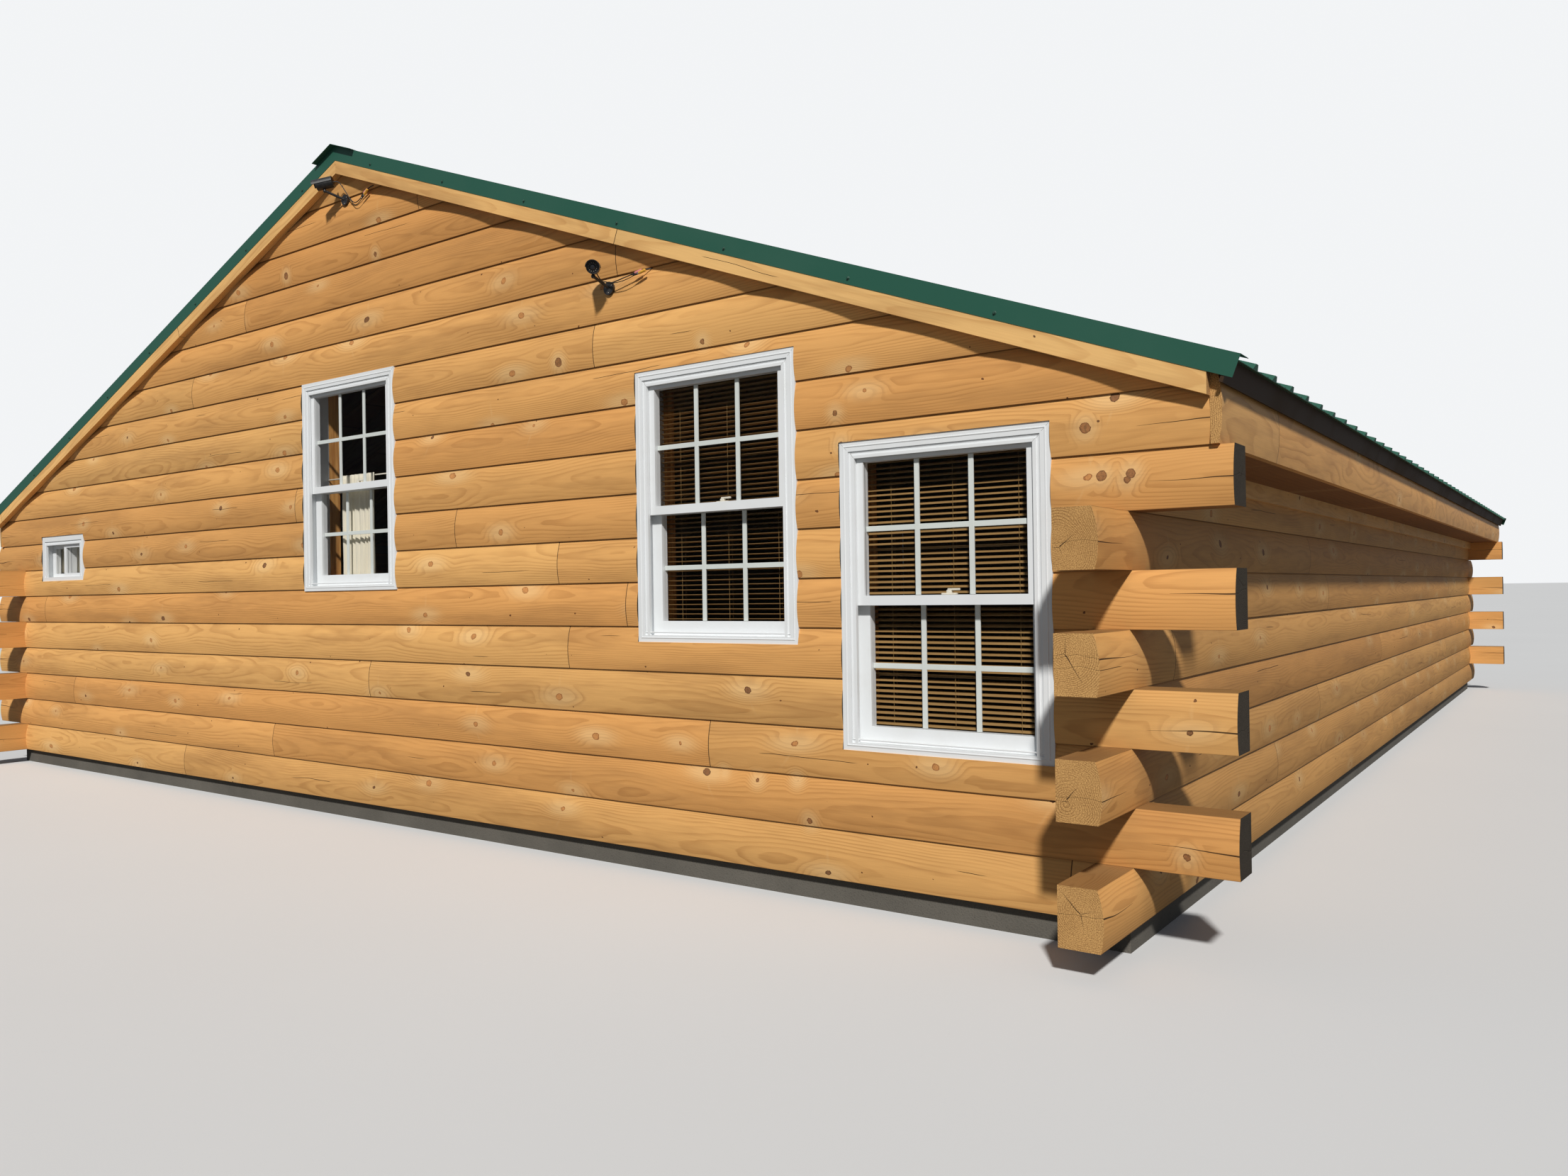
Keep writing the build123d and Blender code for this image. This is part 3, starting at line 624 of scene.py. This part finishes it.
# Plank seams and cracks are painted dark; at the seams this is painted shade in the gaps between boards.
plank = coated(
    (176, 126, 76), (out["Late"] * 0.5, (136, 88, 46)), (out["Tone"] * 0.5, (140, 90, 50)),
    (calc("MAXIMUM", out["Seam"], out["Crack"]), (40, 26, 16)),
)
feed(shader, Base_Color=plank, Roughness=out["Fibre"] * 0.2 + 0.35)
bumped(shader, out["Height"] - out["Seam"], 0.002, 0.6)
dress(floor_finish, "floor")

# Windows: white vinyl double-hung windows, welded frames with a stepped casing, set in openings sawn in the
# logs. Each sash is double glazed with flat grilles between the panes, three lights wide and two high.
vinyl = scuffed("white_vinyl", (229, 232, 234), (204, 204, 200), 0.2, 5, 0.4)
front_windows = (f"{name}_window" for name in ("left", "middle", "right", "small"))
dress(vinyl, *(f"{name}_{part}" for name in front_windows for part in ("frame", "sashes")))
dress(vinyl, "back_window_frames", "back_window_sashes")
glass, shader, point = new_finish("window_glass", IOR=1.5, Specular_IOR_Level=0.3)
film = noise(point, 3.0, 4)
edge_on = add(shader.id_data, "ShaderNodeLayerWeight", {"Blend": 0.35})["Facing"]
feed(
    shader, Base_Color=blended(film, (6, 8, 8), (20, 24, 23)), Alpha=edge_on * 0.08 + (film * 0.04 + 0.02),
    Roughness=film * 0.05 + 0.01,
)
dress(glass, "front_window_glass", "back_window_glass")

# A row tree lays copies of one shape along a straight line, each turned a little by chance.
row_tree, given, result = node_group(
    "row", "GeometryNodeTree",
    [("Geometry", "Geometry"), ("Count", "Int"), ("Start", "Vector"), ("Step", "Vector"), ("Turn", "Vector"),
     ("Seed", "Int"), ("Finish", "Material")],
    [("Geometry", "Geometry")],
)
line_sizes = {"Count": given["Count"], "Start Location": given["Start"], "Offset": given["Step"]}
row_line = add(row_tree, "GeometryNodeMeshLine", line_sizes)[0]
least = add(row_tree, "ShaderNodeVectorMath", {0: given["Turn"], 3: -1.0}, operation="SCALE")[0]
swing_sizes = {"Seed": given["Seed"], "Max": given["Turn"], "Min": least}
swing = add(row_tree, "FunctionNodeRandomValue", swing_sizes, data_type="FLOAT_VECTOR")[0]
copy_sizes = {"Points": row_line, "Instance": given["Geometry"], "Rotation": swing}
copies = add(row_tree, "GeometryNodeInstanceOnPoints", copy_sizes)[0]
real = add(row_tree, "GeometryNodeRealizeInstances", {0: copies})[0]
dressed = add(row_tree, "GeometryNodeSetMaterial", {"Geometry": real, "Material": given["Finish"]})[0]
feed(result, Geometry=dressed)


def row(mesh, **values):
    """Copies of a mesh in a row, as one plain mesh. The tree's inputs are set by their identifiers."""
    holder = new_object("holder", mesh)
    grower = holder.modifiers.new("grower", "NODES")
    grower.node_group = row_tree
    for item in row_tree.interface.items_tree:
        if item.in_out == "INPUT" and item.name in values:
            grower[item.identifier] = values[item.name]
    grown_mesh = plain_copy(holder, preserve_all_data_layers=True)
    holder.modifiers.clear()
    bpy.data.objects.remove(holder)
    return grown_mesh


def bar(size, place=(0, 0, 0), ease=0.0015, steps=2):
    """A bar with eased edges, as milled or moulded."""
    shape = bmesh.new()
    bmesh.ops.create_cube(shape, size=1, matrix=Matrix.Translation(place) @ Matrix.Diagonal((*size, 1)))
    bmesh.ops.bevel(shape, geom=shape.edges[:], offset=ease, segments=steps, affect="EDGES", profile=0.6)
    return plain(shape)


grille_white = scuffed("grille_white", (236, 242, 238), (206, 210, 204), 0.2, 7, 0.4)
hair_dark = scuffed("joint_line", (150, 150, 146), (104, 102, 96), 0.4, 9, 0.6)
lock_white = scuffed("lock_white", (236, 230, 214), (176, 168, 150), 0.3, 30, 0.35)
window_width, window_height, jamb, sill, casing = 0.88, 1.21, 0.04, 0.03, 0.068
casing_face, recess_face = 0.1442, 0.1382
grille_width, stile, rail, upper_edge, lower_edge = 0.021, 0.058, 0.019, 0.044, 0.062
lower_sash, upper_sash, half_sash = 0.053, 0.092, 0.0145
tall_windows = {
    "left": (-1, 0.0, log_foot + 1.19), "middle": (-1, 2.66, log_foot + 0.93),
    "right": (-1, 3.75, log_foot + 0.52), "back_left": (1, -2.66, log_foot + 0.93),
    "back_right": (1, 2.66, log_foot + 0.93),
}


def mitred(window, half_wide, half_high, section):
    """A frame mitred round a tall window's middle. Its section is steps outwards and off the inner face."""
    side, centre, foot = window
    middle = foot + window_height / 2
    loops = []
    for hand, level in ((-1, -1), (1, -1), (1, 1), (-1, 1)):
        loops.append([
            (centre + hand * (half_wide + out), side * (inner_face + off), middle + level * (half_high + out))
            for out, off in section
        ])
    return skinned(loops, ring=True)


window_kinds = {
    "window_grilles": (grille_white, False), "casing_beads": (vinyl, False), "sash_locks": (lock_white, True),
    "casing_mitres": (hair_dark, False),
}
window_parts = {(side, kind): [] for side in (-1, 1) for kind in window_kinds}
for window in tall_windows.values():
    side, centre, foot = window
    grilles, beads, locks, mitres = (window_parts[side, kind] for kind in window_kinds)
    low, high = foot + sill, foot + window_height - jamb
    meeting = (low + high + jamb - casing) / 2
    width = window_width - 2 * (jamb + stile)
    for near, light_foot, light_top in (
        (lower_sash, low + lower_edge, meeting - rail), (upper_sash, meeting + rail, high - upper_edge),
    ):
        depth = side * (inner_face + near + half_sash)
        middle, height = (light_foot + light_top) / 2, light_top - light_foot
        grilles.extend([
            bar((grille_width, 0.007, height - 0.002), (centre - width / 6, depth, middle)),
            bar((grille_width, 0.007, height - 0.002), (centre + width / 6, depth, middle)),
            bar((width - 0.002, 0.0062, grille_width), (centre, depth, middle)),
        ])
    # Sash lock: a base plate and a lever on top of the lower sash.
    lock_depth, lock_foot = side * (inner_face + 0.071), meeting + rail
    locks.extend([
        bar((0.062, 0.020, 0.007), (centre, lock_depth, lock_foot + 0.0035), 0.002),
        bar((0.022, 0.018, 0.014), (centre, lock_depth, lock_foot + 0.011), 0.004),
        bar((0.052, 0.009, 0.008), (centre + 0.02, lock_depth + side * 0.004, lock_foot + 0.020), 0.003),
    ])
    # Two slim round beads run round the casing, one on its outer band and one in its recess.
    bead = ((0.0032, -0.0006), (0.0024, 0.0012), (0, 0.0019), (-0.0024, 0.0012), (-0.0032, -0.0006))
    for inset, face in ((0.020, casing_face), (0.043, recess_face)):
        section = [(outwards, face + rise) for outwards, rise in bead]
        beads.append(mitred(window, window_width / 2 - inset, window_height / 2 - inset, section))
    # Mitre lines across the casing's upper corners, over its outer band, its recess and its bead.
    for hand in (-1, 1):
        corner = Vector((centre + hand * window_width / 2, 0, foot + window_height))
        inner = corner + Vector((-hand * casing, 0, -casing))
        for first, last, face in ((0, 0.5, casing_face), (0.5, 0.824, recess_face), (0.824, 1, casing_face)):
            spot = corner.lerp(inner, (first + last) / 2)
            mitre = bar(((last - first) * casing * 2**0.5, 0.003, 0.0013), (0, 0, 0), 0.0003, 1)
            mitre.transform(Matrix.Rotation(-hand * pi / 4, 4, "Y"))
            mitre.transform(Matrix.Translation((spot.x, side * (inner_face + face - 0.0015), spot.z)))
            mitres.append(mitre)
for side, place in ((-1, "front"), (1, "back")):
    for kind, (finish, smooth) in window_kinds.items():
        keep(f"{place}_{kind}", joined(window_parts[side, kind]), finish, smooth)

# Blinds: narrow slatted blinds behind the middle and right windows and the guessed back ones, let right down.
# Each has a head rail, thin crowned slats on three pairs of ladder cords, and a bottom rail.
slat_finish, shader, point = new_finish("blind_slats", Specular_IOR_Level=0.4)
dust = noise(point, 60, 2)
tan = blended(noise(point, 4.0, 3), (146, 112, 66), (176, 140, 88))
feed(shader, Base_Color=blended(dust * 0.25, tan, (132, 110, 80)), Roughness=dust * 0.2 + 0.3)
slat_pitch, slat_width, slat_crown, slat_thickness = 0.0215, 0.0245, 0.0022, 0.0009
blind_middle = inner_face + 0.023
blind_half = window_width / 2 - jamb - 0.007


def slat(tilt):
    """One crowned slat, tilted about its length."""
    section = []
    for number in range(6):
        across = slat_width * (number / 5 - 0.5)
        section.append((across, slat_crown * (1 - (2 * across / slat_width) ** 2)))
    section += [(across, rise - slat_thickness) for across, rise in reversed(section)]
    turn = Matrix.Rotation(radians(tilt), 3, "X")
    return skinned([[turn @ Vector((x, *step)) for step in section] for x in (-blind_half, blind_half)])


blind_parts = []
blind_looks = {"middle": (-9, 3), "right": (25, 8), "back_left": (-66, 12), "back_right": (-64, 15)}
for name, (tilt, seed) in blind_looks.items():
    side, centre, foot = tall_windows[name]
    depth = side * blind_middle
    head = foot + window_height - jamb - 0.002
    base = foot + sill + 0.008
    blind_parts += [
        row(slat(tilt), Count=int((head - base - 0.04) / slat_pitch), Start=(centre, depth, head - 0.036),
            Step=(0, 0, -slat_pitch), Turn=(radians(2.5), radians(0.12), 0), Seed=seed, Finish=slat_finish),
        bar((2 * blind_half, 0.0245, 0.024), (centre, depth, head - 0.013), 0.002),
        bar((2 * blind_half, 0.024, 0.010), (centre, depth, base + 0.007), 0.003),
    ]
    for place in (-0.27, 0.0, 0.27):
        for near in (-0.0122, 0.0122):
            string = bar((0.0014, 0.0006, head - base - 0.03), (0, 0, 0), 0.0002, 1)
            string.transform(Matrix.Translation((centre + place, depth + near, (head + base) / 2 - 0.005)))
            blind_parts.append(string)
blinds = keep("blinds", joined(blind_parts), slat_finish)
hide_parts("window_blinds")

# Window linings: planed pine boards, 18 mm thick, mitred into a frame from each tall window into the room.
# Each is nailed to the inner face of the wall, and its edges are eased.
lining, shader, point = new_finish("lining_pine", Specular_IOR_Level=0.25)
x, y, z = separated(point)
grain = noise(combined(x * 34.0, y * 34.0, z * 2.2), 1.6, 4, 0.6)
feed(shader, Base_Color=blended(ramped(grain, 0.35, 0.7), (222, 166, 98), (176, 118, 62)))
feed(shader, Roughness=grain * 0.2 + 0.45)
bumped(shader, grain, 0.0006, 0.5)
lining_depth, lining_inset, board, ease = 0.07, 0.034, 0.018, 0.001
lining_section = [
    (0.0015, 0), (board - ease, 0), (board, ease), (board, lining_depth - ease), (board - ease, lining_depth),
    (ease, lining_depth), (0, lining_depth - ease), (0, 0.0015),
]
lining_section = [(outwards, -0.0005 - inwards) for outwards, inwards in lining_section]
half_wide, half_high = window_width / 2 - jamb, window_height / 2 - lining_inset
linings = joined([mitred(window, half_wide, half_high, lining_section) for window in tall_windows.values()])
keep("window_linings", linings, lining)

# Curtains: plain cream cotton, gathered on slim rods across the windows and hung in soft folds.
# A half-height one hangs in the middle of the left window, and a short one in the small window.
cloth, shader, point = new_finish("curtain_cloth", Roughness=0.85, Sheen_Weight=0.15)
weave_point = add(shader.id_data, "ShaderNodeUVMap", uv_map="weave")[0]
warp, weft = (
    add(shader.id_data, "ShaderNodeTexWave", {"Vector": weave_point, "Scale": 260.0}, bands_direction=way)[0]
    for way in ("X", "Y")
)
threads = (warp + weft) * 0.5
cream = blended(noise(point, 6.0, 3), (226, 218, 196), (240, 234, 216))
feed(shader, Base_Color=blended(threads * 0.15, cream, (190, 180, 156)))
bumped(shader, threads, 0.0004, 0.5)
cloth_thickness, rod_radius = 0.0008, 0.0042
for name, left, right, low, high, folds, window, rod_left, rod_right in (
    ("left_curtain", -0.225, 0.085, 1.225, 1.86, 7.5, "left_window_frame", -0.399, 0.399),
    ("small_curtain", -3.954, -3.346, 1.375, 1.61, 13.0, "small_window_frame", -3.958, -3.342),
):
    foot, head = log_foot + low, log_foot + high
    across_count, down_count = int(folds * 16), 24
    middle_depth = inner_face + 0.026
    cloth_mesh = bmesh.new()
    weave = cloth_mesh.loops.layers.uv.new("weave")
    grid = []
    reach = [0.0]
    for i in range(across_count + 1):
        part = i / across_count
        column = []
        for j in range(down_count + 1):
            drop = j / down_count
            swell = (0.45 + 0.55 * drop) * 0.0085
            lean = 0.35 * sin(5.1 * drop + 3 * part) + 0.4 * sin(folds * 2.3 * part)
            wave = sin(2 * pi * folds * part + lean) + 0.18 * sin(2 * pi * folds * 2.6 * part + 2 * drop)
            sway = 0.0035 * sin(9 * part + 4 * drop) * min(1, 6 * part, 6 * (1 - part))
            x = left + (right - left) * part + sway
            place = (x, -(middle_depth + swell * wave), head - (head - foot) * drop)
            column.append(cloth_mesh.verts.new(place))
        if grid:
            reach.append(reach[-1] + (column[down_count // 2].co - grid[-1][down_count // 2].co).length)
        grid.append(column)
    for i in range(across_count):
        for j in range(down_count):
            corners = ((i, j), (i, j + 1), (i + 1, j + 1), (i + 1, j))
            cell = cloth_mesh.faces.new([grid[a][b] for a, b in corners])
            for loop, (a, b) in zip(cell.loops, corners):
                loop[weave].uv = (reach[a], (head - foot) * b / down_count)
    bmesh.ops.recalc_face_normals(cloth_mesh, faces=cloth_mesh.faces)
    curtain = keep(name, plain(cloth_mesh), cloth, True)
    thick = curtain.modifiers.new("thickness", "SOLIDIFY")
    thick.thickness = cloth_thickness
    thick.offset = 0
    round(head - foot, 3)
    rod_length = rod_right - rod_left
    rod_profile = [(0, 0.003), (0.001, rod_radius), (rod_length - 0.001, rod_radius), (rod_length, 0.003)]
    rod = turned_part(rod_profile, (rod_left, -(middle_depth - 0.019), head - 0.012), (1, 0, 0), 12)
    keep(f"{name}_rod", rod, lock_white, True)
    if name == "left_curtain":
        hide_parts("window_curtains")

# Back door: a painted panel door in a painted frame with flat casing, shut, with a knob and three hinges.
# The knob and the hinges are worn brass, screwed to the leaf.
door_paint = scuffed("door_paint", (226, 225, 218), (170, 164, 150), 0.5, 3, 0.4)
dress(door_paint, "door_leaf", "door_frame")
knob_metal = scuffed("knob_metal", (176, 150, 100), (110, 94, 66), 0.5, 60, 0.28, Metallic=1.0)
leaf_thickness = 0.044
leaf_face = inner_face + (log_thickness + leaf_thickness) / 2
knob_profile = [
    (0, 0.033), (0.003, 0.033), (0.006, 0.029), (0.008, 0.014), (0.024, 0.011), (0.030, 0.018),
    (0.040, 0.026), (0.050, 0.027), (0.057, 0.022), (0.060, 0.012),
]
knob = turned_part(knob_profile, (0.39, leaf_face - 0.001, log_foot + 1.0), (0, 1, 0), 32)
keep("door_knob", knob, knob_metal, True)
pin_profile = [(0, 0.005), (0.001, 0.006), (0.099, 0.006), (0.1, 0.005)]
hinge_pin = turned_part(pin_profile, (0, 0, -0.05), (0, 0, 1), 16)
hinge_start = (-0.459, leaf_face + 0.004, log_foot + 0.3)
hinges = row(hinge_pin, Count=3, Start=hinge_start, Step=(0, 0, 0.79), Finish=knob_metal)
keep("door_hinges", hinges, knob_metal)

# Roof framing: sawn softwood plates on the side walls, rafters every 0.6 m and a ridge board, which show from
# inside. A boarded deck of the same wood is nailed over the rafters.
sawn = ((206, 176, 126), (170, 134, 86), (186, 146, 94), (196, 162, 112), (150, 118, 78))
for name, axis, foot, height, length, knots, pieces in (
    ("rafter_timber", "slope", -0.3, 0.34, 9.0, 0.7, ["rafters"]),
    ("plate_timber", "side", 1.7, 0.3, 4.9, 0.7, ["wall_plates"]),
    ("ridge_timber", "side", 3.4, 0.4, 4.9, 0.7, ["ridge_board"]),
    ("deck_timber", "side", 1.7, 0.14, 4.9, 0.8, ["left_roof_deck", "right_roof_deck"]),
):
    finish = timber(name, axis, sawn, roughness=0.7, Foot=foot, Height=height, Length=length, Knots=knots)
    dress(finish, *pieces)

# Roof covering: ribbed steel sheets, baked green enamel, laid from eave to ridge over the boarded deck.
# Two low ribs run between each pair of tall ones, and hex-headed screws with washers hold the sheets.
green = scuffed("green_metal", (36, 86, 70), (76, 104, 92), 0.14, 1.2, 0.5, 0.0006, Specular_IOR_Level=0.35)
dress(green, "left_roof_panels", "right_roof_panels", "ridge_cap", "left_rake_trims", "right_rake_trims")
sheet_top, rib_crest, rib_pitch, sheet_reach = 0.040, 0.059, 0.264, 5.888
rib_count = int(2 * sheet_reach / rib_pitch)
first_rib = -(rib_count - 1) * rib_pitch / 2
panel_foot = (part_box("right_roof_panels")[1].x - rib_crest * sin(roof_angle)) / cos(roof_angle)
cap_leg = 0.17
top_row, bottom_row, beside_rib = 0.32, 0.09, 0.045
low_section = [(-0.012, 0), (-0.006, 0.003), (0.006, 0.003), (0.012, 0), (0.0, -0.0008)]
screw_metal = scuffed("screw_metal", (34, 76, 62), (84, 92, 84), 0.5, 200, 0.4, Metallic=0.2)
washer_head = [
    (0, 0.0075), (0.0012, 0.0078), (0.002, 0.006), (0.0021, 0.0046), (0.0062, 0.0044), (0.0068, 0.0036),
]
screw_parts = []


def slope_place(side):
    """Turns a shape drawn along (down the slope, along the ridge, square to the roof) into its place."""
    down = Vector((side * cos(roof_angle), 0, -sin(roof_angle)))
    square = Vector((side * sin(roof_angle), 0, cos(roof_angle)))
    turn = Matrix((down, Vector((0, side, 0)), square)).transposed().to_4x4()
    return Matrix.Translation((0, 0, ridge_z)) @ turn


def screw_row(seed, count, start, step, way=(0, 0, 1), turn=(0, 0, 0.8)):
    """A row of roof screws, each turned by chance."""
    screw = turned_part(washer_head, (0, 0, -0.0005), way, 8)
    return row(screw, Count=count, Start=start, Step=step, Turn=turn, Seed=seed, Finish=screw_metal)


low_rib = skinned([[(x, *step) for step in low_section] for x in (0, panel_foot - cap_leg + 0.01)])
for side, place in ((-1, "left"), (1, "right")):
    rib_parts = []
    for extra in (1 / 3, 2 / 3):
        start = (cap_leg - 0.012, first_rib + rib_pitch * extra, sheet_top)
        rib_parts.append(row(low_rib, Count=rib_count - 1, Start=start, Step=(0, rib_pitch, 0), Finish=green))
    for number in range(6):
        along_slope = top_row + number * (panel_foot - top_row - bottom_row) / 5
        start = (along_slope, first_rib + beside_rib, sheet_top)
        screws = screw_row(number, rib_count - 1, start, (0, rib_pitch, 0))
        screws.transform(slope_place(side))
        screw_parts.append(screws)
    low_ribs = joined(rib_parts)
    low_ribs.transform(slope_place(side))
    keep(f"{place}_low_ribs", low_ribs, green)

# Ridge cap and rake trims are folded from the same steel and screwed along their legs and faces.
trim_thickness, cap_reach, cap_count = 0.002, 5.8, 23
trim_face = half_length + rake_thickness + trim_thickness
for side in (-1, 1):
    start = (cap_leg - 0.03, -cap_reach, rib_crest + 0.004)
    cap_screws = screw_row(40, cap_count, start, (0, 2 * cap_reach / (cap_count - 1), 0))
    cap_screws.transform(slope_place(side))
    screw_parts.append(cap_screws)
    down = Vector((side * cos(roof_angle), 0, -sin(roof_angle)))
    for end in (-1, 1):
        start = Vector((0, end * trim_face, ridge_z + 0.008)) + down * 0.35
        screw_parts.append(screw_row(60, 7, start, down * 0.655, (0, end, 0), (0, 0.8, 0)))
keep("roof_screws", joined(screw_parts), screw_metal)

# Rake boards and eaves: planed pine boards are nailed over the roof's ends, two lengths to a side. An eave
# has a fascia of half-round log siding, a stained plywood soffit behind it and a frieze strip under that.
# A brown steel drip board closes the deck's end in lengths of about 2.9 m.
planed = ((246, 199, 130), (206, 148, 86), (234, 173, 102), (214, 166, 108), (156, 116, 75))
ply = ((150, 102, 60), (112, 70, 38), (126, 80, 44), (150, 110, 70), (110, 76, 48))
for pieces, name, axis, colours, roughness, foot, height, length, knots, ring_width in (
    (["left_rake_boards", "right_rake_boards"], "rake_boards", "slope", planed, 0.55, -0.095, 0.145, 3.05,
     0.22, 0.009),
    (["fascia_logs"], "fascia_logs", "side", pine + golden_ends, 0.5, 1.69, 0.26, 4.9, 1.0, 0.0065),
    (["frieze_boards"], "frieze_boards", "side", planed, 0.55, 1.62, 0.09, 4.9, 1.0, 0.0065),
    (["soffits"], "soffit_plywood", "side", ply, 0.7, 1.5, 1.22, 2.44, 0.4, 0.02),
):
    sizes = {"Foot": foot, "Height": height, "Length": length, "Knots": knots, "Ring_Width": ring_width}
    dress(timber(name, axis, colours, roughness=roughness, **sizes), *pieces)
brown = scuffed("brown_metal", (60, 43, 29), (92, 78, 60), 0.3, 1.6, 0.6, 0.0006, Specular_IOR_Level=0.2)
dress(brown, "eave_boards")

# Security cameras: small black tubular cameras under a visor, each on a ball arm screwed to the logs.
# Behind the front glass a ring of small infrared lamps stands round the lens.
black = scuffed("black_plastic", (30, 30, 32), (88, 84, 78), 0.3, 50, 0.4)
dress(black, "camera_bodies", "camera_brackets")
lens_glass = scuffed("lens_glass", (16, 18, 26), (40, 42, 50), 0.3, 90, 0.06, Coat_Weight=1.0)
lamp_grey = scuffed("infrared_lamps", (120, 118, 112), (80, 76, 70), 0.4, 200, 0.25)
steel = scuffed("steel_screws", (150, 148, 142), (96, 88, 76), 0.5, 300, 0.35, Metallic=0.9)
lens_profile = [
    (-0.004, 0.0118), (0.0, 0.0118), (0.0014, 0.0108), (0.0022, 0.0080), (0.0026, 0.0045), (0.0027, 0.001),
]
lamp_profile = [(0, 0.0026), (0.002, 0.0026), (0.0034, 0.0018), (0.0039, 0.0006)]
head_profile = [(0, 0.0034), (0.0009, 0.0034), (0.0016, 0.0026), (0.0019, 0.001)]
ball_half = [(-0.010, 0.003), (-0.0085, 0.0062), (-0.005, 0.0088)]
ball_profile = ball_half + [(0, 0.010)] + [(-step, radius) for step, radius in reversed(ball_half)]
clamp_profile = [
    (0.006, 0.0022), (0.013, 0.0022), (0.0132, 0.0052), (0.0138, 0.0058), (0.0205, 0.0058), (0.0212, 0.0050),
]
clamp_way = (0.82, -0.3, -0.48)
lamp_ring, screw_ring = 0.019, 0.021
for name, (base, knuckle, middle, aim) in camera_seats.items():
    front = middle + aim * (camera_length / 2)
    ring_middle = front - aim * 0.0048
    lamps = [turned_part(lamp_profile, ring_middle + spoke * lamp_ring, aim, 10) for spoke in spokes(aim, 12)]
    heads = []
    for number in range(3):
        turn = 2 * pi * number / 3 + 0.5
        place = base + Vector((screw_ring * cos(turn), -0.0118, screw_ring * sin(turn)))
        heads.append(turned_part(head_profile, place, (0, -1, 0), 12))
    for part, mesh, finish, smooth in (
        ("camera_lens", turned_part(lens_profile, front, aim, 28), lens_glass, True),
        ("camera_lamps", joined(lamps), lamp_grey, True),
        ("camera_screws", joined(heads), steel, True),
        ("camera_knuckle", turned_part(ball_profile, knuckle, (0, 0, 1), 20), black, True),
        ("clamp_screw", turned_part(clamp_profile, knuckle, clamp_way, 10), black, False),
    ):
        keep(f"{name}_{part}", mesh, finish, smooth)

# Floor and light: a plain pale floor and a soft studio light from high on the right, with an even fill all
# round. The camera sees the floor pale, but the floor throws back as little light as grass does.
floor_reach = 900
corners = [(floor_reach * x, floor_reach * y, 0) for x, y in ((-1, -1), (1, -1), (1, 1), (-1, 1))]
floor_mesh = bpy.data.meshes.new("studio_floor")
floor_mesh.from_pydata(corners, [], [(0, 1, 2, 3)])
studio_floor = new_object("studio_floor", floor_mesh)
pale, shader, point = new_finish("studio_floor", Roughness=0.9, Specular_IOR_Level=0.1)
seen = add(shader.id_data, "ShaderNodeLightPath")["Is Camera Ray"]
clean = blended(noise(point, 0.4, 3), (214, 215, 216), (219, 220, 221))
feed(shader, Base_Color=blended(seen, (122, 122, 120), clean))
floor_mesh.materials.append(pale)
lamp = bpy.data.lights.new("key_light", "SUN")
lamp.energy = 3.65
lamp.angle = radians(4)
lamp.color = (1.0, 0.975, 0.935)
key = new_object("key_light", lamp)
key.rotation_euler = Vector((0.396, -0.639, 0.659)).to_track_quat("Z", "Y").to_euler()
world = bpy.data.worlds.new("studio")
bpy.context.scene.world = world
world.use_nodes = True
path = add(world.node_tree, "ShaderNodeLightPath")
seen = calc("MAXIMUM", path["Is Camera Ray"], path["Is Transmission Ray"])
feed(
    world.node_tree.nodes["Background"], Strength=seen * 0.77 + (path["Is Glossy Ray"] * 0.2 + 0.15),
    Color=blended(seen, (0.84, 0.94, 1.08, 1), (0.97, 0.985, 1.0, 1)),
)
bpy.context.scene.view_settings.view_transform = "Standard"
